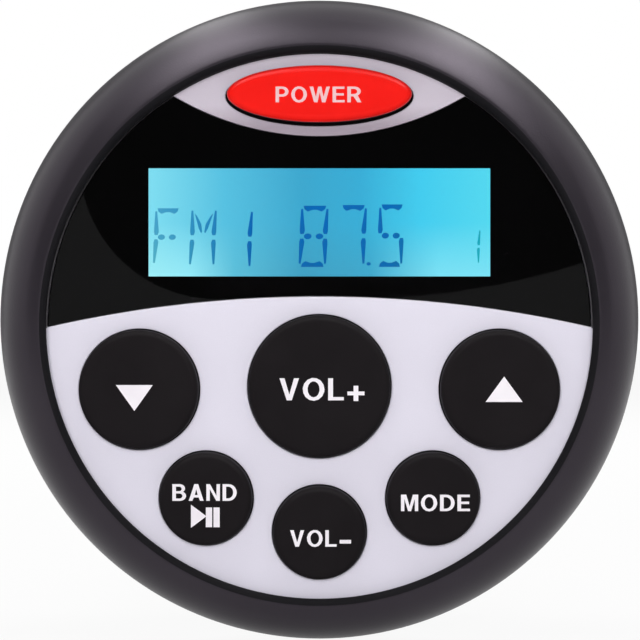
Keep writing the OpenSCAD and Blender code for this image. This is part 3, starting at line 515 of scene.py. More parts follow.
glowing(
    "display_glass",
    "lit_crystal_cell",
    [(0.0, "#82e2f5"), (0.22, "#58c4e4"), (0.45, "#3eaad1")]
    + [(0.62, "#3ab0d9"), (0.8, "#44d0f2"), (1.0, "#56dcf3")],
    [(0.0, "#a2f2fa"), (0.12, "#98eefb"), (0.25, "#5ec2dc")]
    + [(0.45, "#42a2c4"), (0.65, "#42aacd"), (0.85, "#7ee6f8")],
)
glowing(
    "segments",
    "dark_crystal_segments",
    [(0.0, "#4aa6cc"), (0.15, "#288cc0"), (0.3, "#0668b6")]
    + [(0.7, "#066ab8"), (0.85, "#0a7cae"), (1.0, "#18b2c4")],
    [(0.0, "#58b8c8"), (0.15, "#2c90b8"), (0.3, "#0868b0")]
    + [(0.7, "#086ab0"), (0.85, "#0c80a8"), (1.0, "#1cb8c2")],
)
print("display picture is", VIEW_W, "by", VIEW_H, "mm, centred at z =", round(view_z, 2))

# %% [markdown]
# The printing on the keys is white ink, laid down about 0.03 mm thick by a pad printer and baked on.
# Ink on rubber is never quite even, so its white varies a little over half a millimetre. It doesn't
# hide what is under it altogether either, so on the red key the same ink looks pink.

# %% White ink
moulded("ink", "white_pad_print", ("#e6e0e6", "#eee9ee"), 0.55, 0.25, 0.004)
moulded("ink_on_red", "pink_pad_print", ("#e0b5b7", "#e5bbbd"), 0.55, 0.25, 0.004)


def clad(piece, slot, body, *nodes, look=None):
    """Gives a piece the material of a slot or a look and its body, and hides the CAD nodes that it stands
    for.
    """
    piece.data.materials.clear()
    piece.data.materials.append(finish[look or slot])
    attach(piece, body)
    if nodes:
        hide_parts(*nodes)
    return piece


def patch(piece, look, chosen):
    """Gives a second material to the faces that a test chooses."""
    piece.data.materials.append(finish[look])
    for face in piece.data.polygons:
        if chosen(face):
            face.material_index = 1


print("materials:", len(finish))

# %% [markdown]
# The ring is the piece that the eye meets first. It is one moulding: a short straight side, a broad
# elliptical shoulder, and a lip that falls steeply to the face. Its outside is centred, but its
# opening sits a millimetre low, so the lip is wider at the top and leans forward there. On the real
# tool these are two turned inserts. The section is worked out first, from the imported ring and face,
# so that the shoulder, the lip and the pocket meet.

# %% Section of the bezel ring
ring_low, ring_high = box_mm("bezel_ring")
RING_R = ring_high.x
RING_BACK, RING_FRONT = ring_high.y, ring_low.y
BACK_EDGE = 0.6
POCKET_R = FACE_R + 0.2
SHOULDER_W, SHOULDER_H = 8.0, 10.0
SHOULDER_TOP = RING_FRONT + 0.06
SHOULDER_END, SHOULDER_STEPS = 62.0, 14
OPENING_R = FACE_R - 1.29
LIP_R, LIP_ROUND, LIP_SLOPE = OPENING_R - 0.22, 1.2, 18.0
LIP_END, LIP_STEPS = 176.0, 12
LIP_DROP, OPENING_DROP = FACE_DROP + 0.04, FACE_DROP - 0.24
LIP_CENTRE = LIP_R + LIP_ROUND
WALL_R = LIP_CENTRE - 0.2


def shoulder_depth(radius):
    """The depth of the elliptical shoulder at a radius from the ring's own centre."""
    rise = math.sqrt(1 - ((radius - RING_R + SHOULDER_W) / SHOULDER_W) ** 2)
    return SHOULDER_TOP + SHOULDER_H * (1 - rise)


def crest_ring(radius, drop):
    """A station that lies on the shoulder although its centre has dropped, so that it leans forward."""
    top, bottom = shoulder_depth(radius + drop), shoulder_depth(radius - drop)
    return radius, (top + bottom) / 2, drop, (top - bottom) / 2 / radius


def in_lip(face):
    """Whether a face of the ring belongs to the wall inside its lip."""
    radius = math.hypot(face.center.x, face.center.z - LIP_DROP * MM) / MM
    return radius < WALL_R and face.center.y < FACE_Y * MM


print("shoulder", SHOULDER_W, "mm wide, opening radius", round(OPENING_R, 2), "mm")

# %% [markdown]
# The lathe helper runs that section round, from the pocket at the back, out over the shoulder, in over the
# lip and down to the pocket again, where it closes on itself. A spin would keep every ring concentric, but
# the rings of the lip have to drop and lean. The wall inside the lip gets its matte finish at the end, by its
# radius, with a colour a shade darker than the ring's as painted shade.

# %% Bezel ring
shoulder = []
for step in range(SHOULDER_STEPS + 1):
    turn = math.radians(SHOULDER_END * step / SHOULDER_STEPS)
    wide = RING_R - SHOULDER_W + SHOULDER_W * math.cos(turn)
    shoulder.append((wide, shoulder_depth(wide)))
slope = math.radians(LIP_SLOPE)
crest = crest_ring(LIP_CENTRE + LIP_ROUND * math.sin(slope), LIP_DROP)
between = crest_ring((crest[0] + shoulder[-1][0]) / 2, LIP_DROP / 2)
lip_depth = crest[1] + LIP_ROUND * math.cos(slope)
lip = arc(LIP_CENTRE, lip_depth, LIP_ROUND, 90.0 - LIP_SLOPE, LIP_END, LIP_STEPS)
bezel = turned(
    "bezel_moulding",
    [
        (POCKET_R, RING_BACK, FACE_DROP),
        (RING_R - BACK_EDGE, RING_BACK),
        (RING_R, RING_BACK - BACK_EDGE),
        *shoulder,
        between,
        *[(radius, depth, LIP_DROP, crest[3]) for radius, depth in lip],
        (OPENING_R, FACE_Y, OPENING_DROP),
        (POCKET_R, FACE_Y, FACE_DROP),
        (POCKET_R, RING_BACK, FACE_DROP),
    ],
)
clad(bezel, "bezel_plastic", "stereo", "bezel_ring")
# Painted shade: the wall inside the lip gets the darker matte colour.
patch(bezel, "shaded_matte_wall", in_lip)
print("bezel ring:", len(bezel.data.polygons), "faces, radius", round(RING_R, 2), "mm")

# %% [markdown]
# The face is a shallow silver cap: a disc with a skirt that reaches back into the barrel. A window
# crosses it between two arcs, the brow above and the apron below, with a step for the lens. The
# panel's opening and the lens share that outline, so one helper makes both: a disc from which two
# large rounds are cut, the brow's from above and the apron's from below.

# %% Keys and window of the panel
KEYS = ("power", "tune_down", "volume_up", "tune_up", "band", "volume_down", "mode")
KEY_LIP, KEY_GAP, KEY_SIDES = 0.8, 0.2, 128
POWER_DROP, DROP_GROWTH = 0.29, 0.4
BROW_R, BROW_EDGE, BROW_SIDES = 45.6, 29.45, 256
APRON_R, APRON_EDGE, APRON_SIDES = 195.7, 3.7, 720
FAR_PAST = 5.0
lens_low, lens_high = box_mm("display_lens")
mask_back = box_mm("lens_mask")[1].y


def key_size(key):
    """A key's middle, and its half width and half height above its lip, in millimetres."""
    low, high = box_mm(key + "_key")
    return middle_of(key + "_key"), (high.x - low.x) / 2 - KEY_LIP, (high.z - low.z) / 2 - KEY_LIP


def window(name, front, back, gap):
    """The shape between brow and apron inside the window's circle, with a gap all round."""
    piece = turned(name, [(WINDOW_R - gap, front), (WINDOW_R - gap, back)], at=(0.0, FACE_DROP))
    for radius, z, sides in (
        (BROW_R + gap, BROW_EDGE + BROW_R, BROW_SIDES),
        (APRON_R + gap, APRON_EDGE - APRON_R, APRON_SIDES),
    ):
        ends = [(radius, front - FAR_PAST), (radius, back + FAR_PAST)]
        carve(piece, turned("window_edge", ends, at=(0.0, z), sides=sides))
    return piece


print("window radius", round(WINDOW_R, 2), "mm, half the volume key", round(key_size("volume_up")[1], 2))

# %% [markdown]
# The cap is turned first and then cut with Booleans, in the order a mould maker would sink the cores:
# the window, the picture and the keys. Seven holes let the keys through, and the oval one is a little
# low, so a dark gap shows under its key. The edges are broken by 0.15 mm, as paint never keeps a
# sharper one.

# %% Front panel
CAP_FLOOR, PICTURE_GAP, PAINT_EDGE = 2.5, 0.6, 0.15
PAST = 1.0
panel = turned(
    "panel_cap",
    [
        (WINDOW_R, FACE_Y + CAP_FLOOR),
        (WINDOW_R, face_high.y),
        (FACE_R, face_high.y),
        (FACE_R, FACE_Y),
    ],
    at=(0.0, FACE_DROP),
)
carve(panel, window("window_core", FACE_Y - PAST, mask_back, 0.0))
half_view = (VIEW_W / 2 + PICTURE_GAP, VIEW_H / 2 + PICTURE_GAP)
carve(
    panel,
    block(
        "picture_core",
        (view_x - half_view[0], FACE_Y - PAST, view_z - half_view[1]),
        (view_x + half_view[0], face_high.y, view_z + half_view[1]),
    ),
)
for key in KEYS:
    centre, half_w, half_h = key_size(key)
    low = POWER_DROP if key == "power" else 0.0
    hole_r = half_h + KEY_GAP + DROP_GROWTH * low
    hole = [(hole_r, FACE_Y - PAST, -low), (hole_r, face_high.y, -low)]
    carve(panel, turned("key_core", hole, at=centre, sides=KEY_SIDES, stretch=half_w - half_h))
soften(panel, PAINT_EDGE, segments=2)
clad(panel, "silver_panel", "stereo", "front_panel")
print("front panel:", len(panel.data.polygons), "faces, with", len(KEYS), "key holes")

# %% [markdown]
# The lens is cut from acrylic sheet to the window's outline, with a hair's gap so that it can be
# glued in flush with the paint. Its back carries a black screen print that leaves the picture clear,
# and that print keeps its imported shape. The sawn edge is blacked too, so that no light gets in there.

# %% Lens
LENS_GAP, GLUE = 0.1, 0.02
lens = window("lens_sheet", lens_low.y, lens_high.y - GLUE, LENS_GAP)
smooth(lens)
clad(lens, "lens_acrylic", "stereo", "display_lens")
patch(lens, "mask_ink", lambda face: abs(face.normal.y) < 0.5)
print("lens:", len(lens.data.polygons), "faces, front at y =", round(lens_low.y, 2), "mm")

# %% [markdown]
# The display cell is two sheets of glass with a polariser film on the front, a little smaller than
# the glass. The film's edge shows as a step, so the plate's front face is inset and pushed forward.

# %% Display cell
cell_low, cell_high = box_mm("lcd_glass")
FILM, FILM_INSET, GLASS_EDGE = 0.15, 0.8, 0.05
cell = block("display_cell", (cell_low.x, cell_low.y + FILM, cell_low.z), tuple(cell_high))
bpy.ops.object.mode_set(mode="EDIT")
bpy.ops.mesh.select_all(action="DESELECT")
bpy.ops.object.mode_set(mode="OBJECT")
front = min(cell.data.polygons, key=lambda face: face.center.y)
front.select = True
bpy.ops.object.mode_set(mode="EDIT")
bpy.ops.mesh.select_mode(type="FACE")
bpy.ops.mesh.inset(thickness=FILM_INSET * MM)
bpy.ops.mesh.extrude_region_move(TRANSFORM_OT_translate={"value": (0.0, -FILM * MM, 0.0)})
bpy.ops.mesh.select_mode(type="VERT")
bpy.ops.object.mode_set(mode="OBJECT")
soften(cell, GLASS_EDGE, segments=2)
clad(cell, "display_glass", "stereo", "lcd_glass")
print("display cell:", len(cell.data.polygons), "faces")

# %% [markdown]
# Each character is made of segments, electrodes etched in the cell. The horizontal bars are waisted
# in the middle, the uprights swell towards the waist of the character, and the crossbar is two dots.
# One of each kind is drawn, in a cell about 4.2 mm wide and 9.7 mm high, and mirrored for the others.

# %% Outlines of the segments
BAR = [(-1.7, 4.85), (1.7, 4.85), (1.55, 4.3), (1.05, 3.92), (0.3, 4.2)]
BAR += [(-0.3, 4.2), (-1.05, 3.92), (-1.55, 4.3)]
POST = [(-2.05, 4.3), (-1.75, 4.35), (-1.33, 0.9), (-1.5, 0.36), (-2.0, 0.36), (-2.12, 0.9)]
SLANT = [(-1.5, 3.87), (-1.11, 3.48), (-0.35, 2.14), (-0.16, 0.87), (-0.35, 0.7), (-0.74, 1.45)]
DOT_X, DOT_W, DOT_H = 0.88, 0.58, 0.46
ROUND = [math.radians(angle) for angle in range(0, 360, 24)]
DOT = [(DOT_X + DOT_W * math.cos(a), DOT_H * math.sin(a)) for a in ROUND]
POINT = [(0.6 * (x - DOT_X), 0.6 * y) for x, y in DOT]


def flipped(outline, across, up):
    """An outline mirrored across the upright axis, the level axis or both."""
    return [(x * across, y * up) for x, y in outline]


SEGMENTS = {
    "top": [BAR],
    "bottom": [flipped(BAR, 1, -1)],
    "upper_left": [POST],
    "upper_right": [flipped(POST, -1, 1)],
    "lower_left": [flipped(POST, 1, -1)],
    "lower_right": [flipped(POST, -1, -1)],
    "middle": [DOT, flipped(DOT, -1, 1)],
    "peaks": [SLANT, flipped(SLANT, -1, 1)],
    "point": [POINT],
}
GLYPHS = {
    "F": ("top", "upper_left", "middle", "lower_left"),
    "M": ("upper_left", "upper_right", "lower_left", "lower_right", "peaks"),
    "1": ("upper_right", "lower_right"),
    "8": ("top", "upper_left", "upper_right", "middle", "lower_left", "lower_right", "bottom"),
    "7": ("top", "upper_right", "lower_right"),
    "5": ("top", "upper_left", "middle", "lower_right", "bottom"),
    ".": ("point",),
}
print("kinds of segment:", sorted(SEGMENTS))

# %% [markdown]
# The display shows a band name, a frequency and a preset number. The segments that are dark are set
# in their places, leaning 2.6 degrees, as the outlines of one filled flat curve. The curve is then
# converted to a mesh 0.04 mm thick, which lies just in front of the cell's film.

# %% Segments of the display
LEAN = math.tan(math.radians(2.6))
SEGMENT_FILM, FILM_GAP = 0.04, 0.001
WRITING = [
    ("F", -24.62, 13.31, 1.0, 0.96),
    ("M", -18.8, 13.26, 1.0, 1.0),
    ("1", -12.98, 13.02, 1.0, 1.01),
    ("8", -0.94, 13.44, 1.08, 1.02),
    ("7", 5.31, 13.5, 1.05, 1.03),
    (".", 7.95, 9.0, 1.0, 1.0),
    ("5", 11.52, 13.55, 1.0, 1.04),
    ("1", 24.65, 11.8, 0.6, 0.6),
]


def flat_mesh(name, outlines, thickness):
    """Closed outlines as one flat mesh, drawn as a filled curve and then converted."""
    curve = bpy.data.curves.new(name, "CURVE")
    curve.dimensions = "2D"
    curve.fill_mode = "BOTH"
    curve.extrude = thickness / 2
    for outline in outlines:
        spline = curve.splines.new("POLY")
        spline.points.add(len(outline) - 1)
        for point, (x, y) in zip(spline.points, outline):
            point.co = (x, y, 0.0, 1.0)
        spline.use_cyclic_u = True
    piece = bpy.data.objects.new(name, curve)
    bpy.context.scene.collection.objects.link(piece)
    pick(piece)
    bpy.ops.object.convert(target="MESH")
    return bpy.context.object


etched = []
for glyph, x, z, wide, tall in WRITING:
    for outline in [line for part in GLYPHS[glyph] for line in SEGMENTS[part]]:
        placed = [(x + px * wide + py * tall * LEAN, z + py * tall) for px, py in outline]
        etched.append([(px * MM, pz * MM) for px, pz in placed])
segments = flat_mesh("display_segments", etched, SEGMENT_FILM * MM)
segments.rotation_euler = (math.radians(90), 0.0, 0.0)
segments.location = (0.0, (cell_low.y - SEGMENT_FILM / 2 - FILM_GAP) * MM, 0.0)
settle()
clad(segments, "display_glass", "stereo", look="segments")
print("segments:", len(segments.data.polygons), "faces for", len(WRITING), "characters")

# %% [markdown]
# A key is a rubber cap with a lip round its foot, so that it can't fall out through the panel. Its top is
# flat with a rounded rim, a millimetre on the black keys and a little more on the red one, which also sits a
# touch low in its hole. Each cap rides on its own button body, so a press carries the cap and its print
# together. The red one's foot, which shows in the gap under it, gets the black rubber of the others as
# painted shade. The tops end 0.03 mm under the imported ones, which leaves room for the ink.

# %% Key caps
INK = 0.03
RIM, POWER_RIM, RIM_STEPS = 1.0, 1.15, 7
POWER_SINK = 0.1
FOOT, SHADED_FOOT_LINE = 1.2, 0.4
TOP_INSET = 0.4
caps = {}
for key in KEYS:
    centre, half_w, half_h = key_size(key)
    low, high = box_mm(key + "_key")
    rim = POWER_RIM if key == "power" else RIM
    sink = POWER_SINK if key == "power" else 0.0
    top = low.y + INK
    caps[key] = turned(
        key + "_cap",
        [
            (half_h + KEY_LIP, high.y),
            (half_h + KEY_LIP, high.y - FOOT),
            (half_h, high.y - FOOT),
            *arc(half_h - rim, top + rim, rim, 0.0, 90.0, RIM_STEPS),
            (half_h - rim - TOP_INSET, top),
        ],
        at=(centre[0], centre[1] - sink),
        sides=KEY_SIDES,
        stretch=half_w - half_h,
    )
    clad(caps[key], slot_of[key + "_key"], key + "_button", key + "_key")
    # Painted shade: on the red key, the faces behind this line get black rubber, so the gap under it looks
    # dark.
    patch(caps[key], "key_rubber", lambda face: face.center.y > (FACE_Y - SHADED_FOOT_LINE) * MM)
print("key caps:", sorted(caps))

# %% [markdown]
# The words on the keys are bold capitals with plain ends. Blender's own letter is lighter, so each
# capital is drawn here as one outline, and a second or third where it has a hole. The unit is the cap
# height, so a stem's width and a beam's height are shares of it.

# %% Outlines of the letters
BOW_STEPS = 14


def bow(x, y, wide, tall, start, end):
    """Points along part of an ellipse, in cap heights, between two angles in degrees."""
    turns = [math.radians(start + (end - start) * i / BOW_STEPS) for i in range(BOW_STEPS + 1)]
    return [(x + wide * math.cos(a), y + tall * math.sin(a)) for a in turns]


STEM, BEAM = 0.175, 0.15
LEG = 1 - STEM
TOP, MID = 1 - BEAM, 0.505
E = [(0, 0), (0.6, 0), (0.6, BEAM), (STEM, BEAM), (STEM, MID - BEAM / 2), (0.56, MID - BEAM / 2)]
W = [(0.22, 0), (0.39, 0), (0.5, 0.64), (0.61, 0), (0.78, 0), (1, 1), (LEG, 1), (0.69, 0.34), (0.58, 1)]
N = [(0, 0), (0.17, 0), (0.17, 0.7), (0.49, 0), (0.67, 0), (0.67, 1), (0.5, 1), (0.5, 0.3), (0.18, 1), (0, 1)]
M = [(0, 0), (0.16, 0), (0.16, 0.74), (0.34, 0), (0.48, 0), (0.66, 0.74), (0.66, 0), (0.82, 0), (0.82, 1)]
A = [(0, 0), (0.18, 0), (0.25, 0.2), (0.49, 0.2), (0.56, 0), (0.74, 0), (0.465, 1), (0.275, 1)]
R = [(0, 0), (STEM, 0), (STEM, 0.38), (0.3, 0.38), (0.5, 0), (0.7, 0)]
PLUS = [(0, 0.23), (0.22, 0.23), (0.22, -0.03), (0.39, -0.03), (0.39, 0.23), (0.61, 0.23)]
LETTERS = {
    "E": [E + [(0.56, MID + BEAM / 2), (STEM, MID + BEAM / 2), (STEM, TOP), (0.59, TOP), (0.59, 1), (0, 1)]],
    "L": [[(0, 0), (0.56, 0), (0.56, BEAM), (STEM, BEAM), (STEM, 1), (0, 1)]],
    "V": [[(0.26, 0), (0.44, 0), (0.7, 1), (0.52, 1), (0.35, 0.26), (0.18, 1), (0, 1)]],
    "W": [W + [(0.42, 1), (0.31, 0.34), (STEM, 1), (0, 1)]],
    "N": [N],
    "M": [M + [(0.57, 1), (0.41, 0.3), (0.25, 1), (0, 1)]],
    "A": [A, [(0.3, 0.35), (0.44, 0.35), (0.37, 0.7)]],
    "O": [bow(0.39, 0.5, 0.39, 0.52, 0, 347), bow(0.39, 0.5, 0.215, 0.365, 0, 347)],
    "D": [
        [(0, 0), *bow(0.3, 0.5, 0.4, 0.5, -90, 90), (0, 1)],
        [(STEM, BEAM), *bow(0.28, 0.5, 0.245, 0.35, -90, 90), (STEM, TOP)],
    ],
    "P": [
        [(0, 0), (STEM, 0), (STEM, 0.36), *bow(0.34, 0.68, 0.3, 0.32, -90, 90), (0, 1)],
        [(STEM, 0.51), *bow(0.32, 0.68, 0.145, 0.17, -90, 90), (STEM, TOP)],
    ],
    "R": [
        [*R, *bow(0.36, 0.7, 0.3, 0.3, -60, 90), (0, 1)],
        [(STEM, 0.53), *bow(0.34, 0.69, 0.145, 0.16, -90, 90), (STEM, TOP)],
    ],
    "B": [
        [(0, 0), *bow(0.37, 0.29, 0.31, 0.29, -90, 60), *bow(0.35, 0.74, 0.28, 0.26, -50, 90), (0, 1)],
        [(STEM, 0.14), *bow(0.34, 0.29, 0.155, 0.15, -90, 90), (STEM, 0.44)],
        [(STEM, 0.58), *bow(0.33, 0.715, 0.13, 0.135, -90, 90), (STEM, TOP)],
    ],
    "+": [PLUS + [(0.61, 0.4), (0.39, 0.4), (0.39, 0.66), (0.22, 0.66), (0.22, 0.4), (0, 0.4)]],
    "-": [[(0.02, 0.19), (0.58, 0.19), (0.58, 0.41), (0.02, 0.41)]],
}
print("letters drawn:", "".join(LETTERS))

# %% [markdown]
# The signs are a triangle up, a triangle down, and play with pause, each a circle with three or four
# corners. Every word and sign is made a mesh first, then scaled to its printed width and height, stood
# upright, and set on its key's top. The offsets are from the middle of the key, since the print isn't
# centred.

# %% Printing on the keys
TRACKING, BLANK = 0.13, 0.2


def printed(piece, name, key, width, height, offset):
    """Fits a flat mesh to a width and height, and prints it on a key at an offset from its middle."""
    christen(piece, name)
    pick(piece)
    bpy.ops.object.origin_set(type="ORIGIN_GEOMETRY", center="BOUNDS")
    size = piece.dimensions
    piece.scale = (width * MM / size.x, height * MM / size.y, INK * MM / size.z)
    piece.rotation_euler = (math.radians(90), 0.0, 0.0)
    x, z = middle_of(key + "_key")
    front = box_mm(key + "_key")[0].y
    piece.location = ((x + offset[0]) * MM, (front + INK / 2) * MM, (z + offset[1]) * MM)
    settle()
    look = "ink_on_red" if key == "power" else "ink"
    return clad(piece, "white_plastic", key + "_button", look=look)


def lettering(words):
    """Bold capitals as a flat mesh, set from their outlines with even gaps."""
    edge = 0.0
    outlines = []
    for letter in words:
        for outline in LETTERS[letter]:
            outlines.append([(edge + x, y) for x, y in outline])
        edge += max(x for x, y in LETTERS[letter][0]) + TRACKING
    return flat_mesh("letters", outlines, BLANK)


def sign(corners, turn):
    """A flat sign with a few corners, turned by an angle in degrees."""
    bpy.ops.object.select_all(action="DESELECT")
    bpy.ops.mesh.primitive_circle_add(vertices=corners, radius=1.0, fill_type="NGON")
    bpy.context.object.rotation_euler = (0.0, 0.0, math.radians(turn))
    settle()
    open_all()
    bpy.ops.mesh.extrude_region_move(TRANSFORM_OT_translate={"value": (0.0, 0.0, BLANK)})
    bpy.ops.mesh.select_all(action="SELECT")
    bpy.ops.mesh.normals_make_consistent(inside=False)
    bpy.ops.object.mode_set(mode="OBJECT")
    return bpy.context.object


printed(lettering("POWER"), "power_word", "power", 13.7, 2.6, (-0.14, -0.32))
printed(lettering("VOL+"), "volume_up_word", "volume_up", 13.55, 3.67, (0.41, -0.44))
printed(lettering("BAND"), "band_word", "band", 10.26, 2.66, (-0.13, 1.09))
printed(lettering("VOL-"), "volume_down_word", "volume_down", 9.72, 2.71, (0.18, -0.8))
printed(lettering("MODE"), "mode_word", "mode", 11.0, 2.71, (0.32, -0.58))
printed(sign(3, 180), "tune_down_sign", "tune_down", 5.9, 4.14, (-0.6, -1.3))
printed(sign(3, 0), "tune_up_sign", "tune_up", 5.9, 4.06, (0.55, 0.1))
printed(sign(3, -90), "play_sign", "band", 2.47, 3.68, (-1.06, -2.7))
printed(sign(4, 45), "pause_bar_left", "band", 1.0, 3.14, (0.58, -2.87))
printed(sign(4, 45), "pause_bar_right", "band", 0.98, 3.14, (1.79, -2.87))

# %% [markdown]
# Under the keys lies a rubber mat with a cone-shaped dome for each key, which a press folds. Every dome is a
# piece of its own, and the sheet is the imported mat with everything above its top face cut away.

# %% Keypad mat and domes
mat_low, mat_high = box_mm("keypad_mat")
MAT_SHEET = 0.8
MAT_TOP = mat_high.y - MAT_SHEET
DOME_WALL = 0.6
DOME_FOOT, DOME_HEAD = 5.0, 3.5
WELL_PAST = 60.0
sheet = copied("keypad_mat", "keypad_sheet")
trim = ((-WELL_PAST, mat_low.y - PAST, -WELL_PAST), (WELL_PAST, MAT_TOP, WELL_PAST))
carve(sheet, block("mat_trim", *trim))
smooth(sheet)
clad(sheet, "silicone", "stereo", "keypad_mat")
for key in KEYS:
    x, z = middle_of(key + "_key")
    dome = turned(
        key + "_dome",
        [
            (DOME_HEAD - DOME_WALL, mat_low.y + DOME_WALL),
            (DOME_FOOT - DOME_WALL, MAT_TOP),
            (DOME_FOOT, MAT_TOP),
            (DOME_HEAD, mat_low.y),
        ],
        at=(x, z),
        sides=SMALL_ROUND,
    )
    clad(dome, "silicone", "stereo")
    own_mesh(dome)

# %% [markdown]
# Behind the ring come a foam gasket, which seals against the dash, and the barrel with its flange.
# Both are plain rounds, so they are turned, and their corners get the radius of a moulded edge.

# %% Gasket and barrel
gasket_low, gasket_high = box_mm("dash_gasket")
GASKET_IN, GASKET_EDGE = 41.0, 0.4
gasket = turned(
    "foam_gasket",
    [
        (GASKET_IN, gasket_low.y),
        (gasket_high.x, gasket_low.y),
        (gasket_high.x, gasket_high.y),
        (GASKET_IN, gasket_high.y),
        (GASKET_IN, gasket_low.y),
    ],
)
soften(gasket, GASKET_EDGE)
clad(gasket, "seal_rubber", "stereo", "dash_gasket")

barrel_low, barrel_high = box_mm("barrel_housing")
BARREL_R, BORE_R, BARREL_EDGE = 39.5, 37.3, 0.35
barrel = turned(
    "barrel_shell",
    [
        (BORE_R, RING_BACK),
        (barrel_high.x, RING_BACK),
        (barrel_high.x, gasket_low.y),
        (BARREL_R, gasket_low.y),
        (BARREL_R, barrel_high.y),
        (BORE_R, barrel_high.y),
        (BORE_R, RING_BACK),
    ],
)
soften(barrel, BARREL_EDGE)
clad(barrel, "housing_plastic", "stereo", "barrel_housing")
print("barrel from y =", round(barrel_low.y, 2), "to", round(barrel_high.y, 2), "mm")

# %% [markdown]
# Plates, sockets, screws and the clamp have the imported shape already, but with edges as sharp as a
# drawing. Real mouldings leave the tool with a small radius, a punched strap has its edges tumbled,
# and screws are turned with a chamfer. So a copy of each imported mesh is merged, its flat faces are
# dissolved, and a bevel of the right width for how it was made goes round its edges. Of the two
# line-out insulators, the one for the right channel is red, as on most sound equipment.

# %% Pieces with their edges rounded
EDGES = {
    "rear_cover": 0.35,
    "heat_sink": 0.2,
    "power_socket": 0.25,
    "power_pins": 0.2,
    "antenna_socket": 0.2,
    "antenna_insulator": 0.1,
    "antenna_contact": 0.1,
    "line_out_shells": 0.2,
    "line_out_insulators": 0.12,
    "line_out_contacts": 0.1,
    "rear_cover_screws": 0.15,
    "heat_sink_screws": 0.15,
    "stud_nuts": 0.2,
    "thumb_nut_left": 0.3,
    "thumb_nut_right": 0.3,
    "rear_seal": 0.15,
}
for node, width in EDGES.items():
    piece = soften(copied(node, node + "_edged"), width)
    clad(piece, slot_of[node], body_of[node], node)
    if node == "line_out_insulators":
        patch(piece, "red_plastic", lambda face: face.center.x < 0)
print("rounded:", len(EDGES), "pieces")

# %% [markdown]
# The clamp is a strap of 2 mm stainless, punched and then bent. Tumbling rounds its outer edges, but
# the two holes stay as the punch left them. So the sharp edges are selected first, the ones round the
# holes are taken out of the selection, and only the rest is bevelled.

# %% Clamp strap
stud_low, stud_high = box_mm("mounting_studs")
STUD_R = 2.5
HEAD_R, HEAD_H = STUD_R * 1.85, STUD_R
STUD_X = stud_high.x - HEAD_R
STRAP_EDGE, HOLE_RIM = 0.3, 1.0
strap = copied("clamp_bracket", "clamp_strap")
smooth(strap)
bpy.ops.object.mode_set(mode="EDIT")
bpy.ops.mesh.select_mode(type="EDGE")
bpy.ops.mesh.select_all(action="DESELECT")
bpy.ops.mesh.edges_select_sharp(sharpness=math.radians(SHARP))
bpy.ops.object.mode_set(mode="OBJECT")
for edge in strap.data.edges:
    middle = sum((strap.data.vertices[v].co for v in edge.vertices), Vector()) / 2 / MM
    if math.hypot(abs(middle.x) - STUD_X, middle.z) < STUD_R + HOLE_RIM:
        edge.select = False
bpy.ops.object.mode_set(mode="EDIT")
bpy.ops.mesh.bevel(offset=STRAP_EDGE * MM, segments=3, affect="EDGES")
bpy.ops.mesh.select_mode(type="VERT")
bpy.ops.object.mode_set(mode="OBJECT")
keep_flat(strap)
clad(strap, "clamp_steel", "clamp", "clamp_bracket")
print("clamp strap:", len(strap.data.polygons), "faces, studs at x =", round(STUD_X, 2), "mm")

# %% [markdown]
# The lock washers are split, with the two ends cut at a slant, so that they bite. A copy of each
# packed ring is cut by a thin leaning blade, as a saw would cut it.

# %% Lock washers
washers = copied("lock_washers", "split_washers")
washer_low, washer_high = box_mm("lock_washers")
WASHER_R, WASHER_EDGE = 5.0, 0.12
SAW, SAW_LEAN, SAW_PAST = 0.5, 25.0, 2.0
SAW_FROM, SAW_TO = 1.0, 8.0
for side in (-1, 1):
    x = side * (washer_high.x - WASHER_R)
    low = (x - SAW, washer_low.y - SAW_PAST, SAW_FROM)
    blade = block("saw", low, (x + SAW, washer_high.y + SAW_PAST, SAW_TO))
    bpy.ops.transform.rotate(value=math.radians(SAW_LEAN), orient_axis="Z")
    settle()
    carve(washers, blade)
soften(washers, WASHER_EDGE, segments=2)
clad(washers, "clamp_steel", "clamp", "lock_washers")
print("lock washers:", len(washers.data.polygons), "faces")

# %% [markdown]
# The studs carry a rolled M5 thread with a pitch of 0.8 mm. Its ridge is a three-cornered outline
# that the Screw modifier winds up along the stud, and its two ends are closed. A bump would look flat
# from the side, where the ridges make the outline.

# %% Thread
PITCH = 0.8
CORE_R = STUD_R - 0.61 * PITCH
THREAD_FROM = box_mm("stud_nuts")[1].y - 0.5
TIP = 0.7
TURNS = int((stud_high.y - 2 * TIP - THREAD_FROM) / PITCH)
TURN_STEPS = 30
SUNK = 0.06
FLANKS = 0.9 * PITCH


def thread():
    """A three-cornered ridge that winds up along Y, sunk a little into the core, with closed ends."""
    bpy.ops.object.select_all(action="DESELECT")
    bpy.ops.mesh.primitive_circle_add(vertices=3, radius=1.0)
    ridge = bpy.context.object
    ridge.rotation_euler = (0.0, 0.0, math.radians(-90))
    settle()
    low_x = min(v.co.x for v in ridge.data.vertices)
    ridge.scale = ((STUD_R - CORE_R + SUNK) * MM / (1 - low_x), FLANKS * MM / math.sqrt(3), 1.0)
    ridge.location = ((CORE_R - SUNK) * MM - low_x * ridge.scale[0], 0.0, 0.0)
    settle()
    wind = ridge.modifiers.new("wind", "SCREW")
    wind.axis = "Y"
    wind.iterations = TURNS
    wind.steps = TURN_STEPS
    wind.screw_offset = PITCH * MM
    bpy.ops.object.modifier_apply(modifier=wind.name)
    open_all()
    bpy.ops.mesh.fill_holes(sides=0)
    bpy.ops.mesh.normals_make_consistent(inside=False)
    bpy.ops.object.mode_set(mode="OBJECT")
    return ridge


print("thread of", TURNS, "turns, core radius", round(CORE_R, 3), "mm")

# %% [markdown]
# The blank of a stud is a rod with a hexagon head inside the housing, a plain neck, a core as deep as
# the thread's grooves and a chamfered tip. The ridge sinks a little into the core and is joined to it.

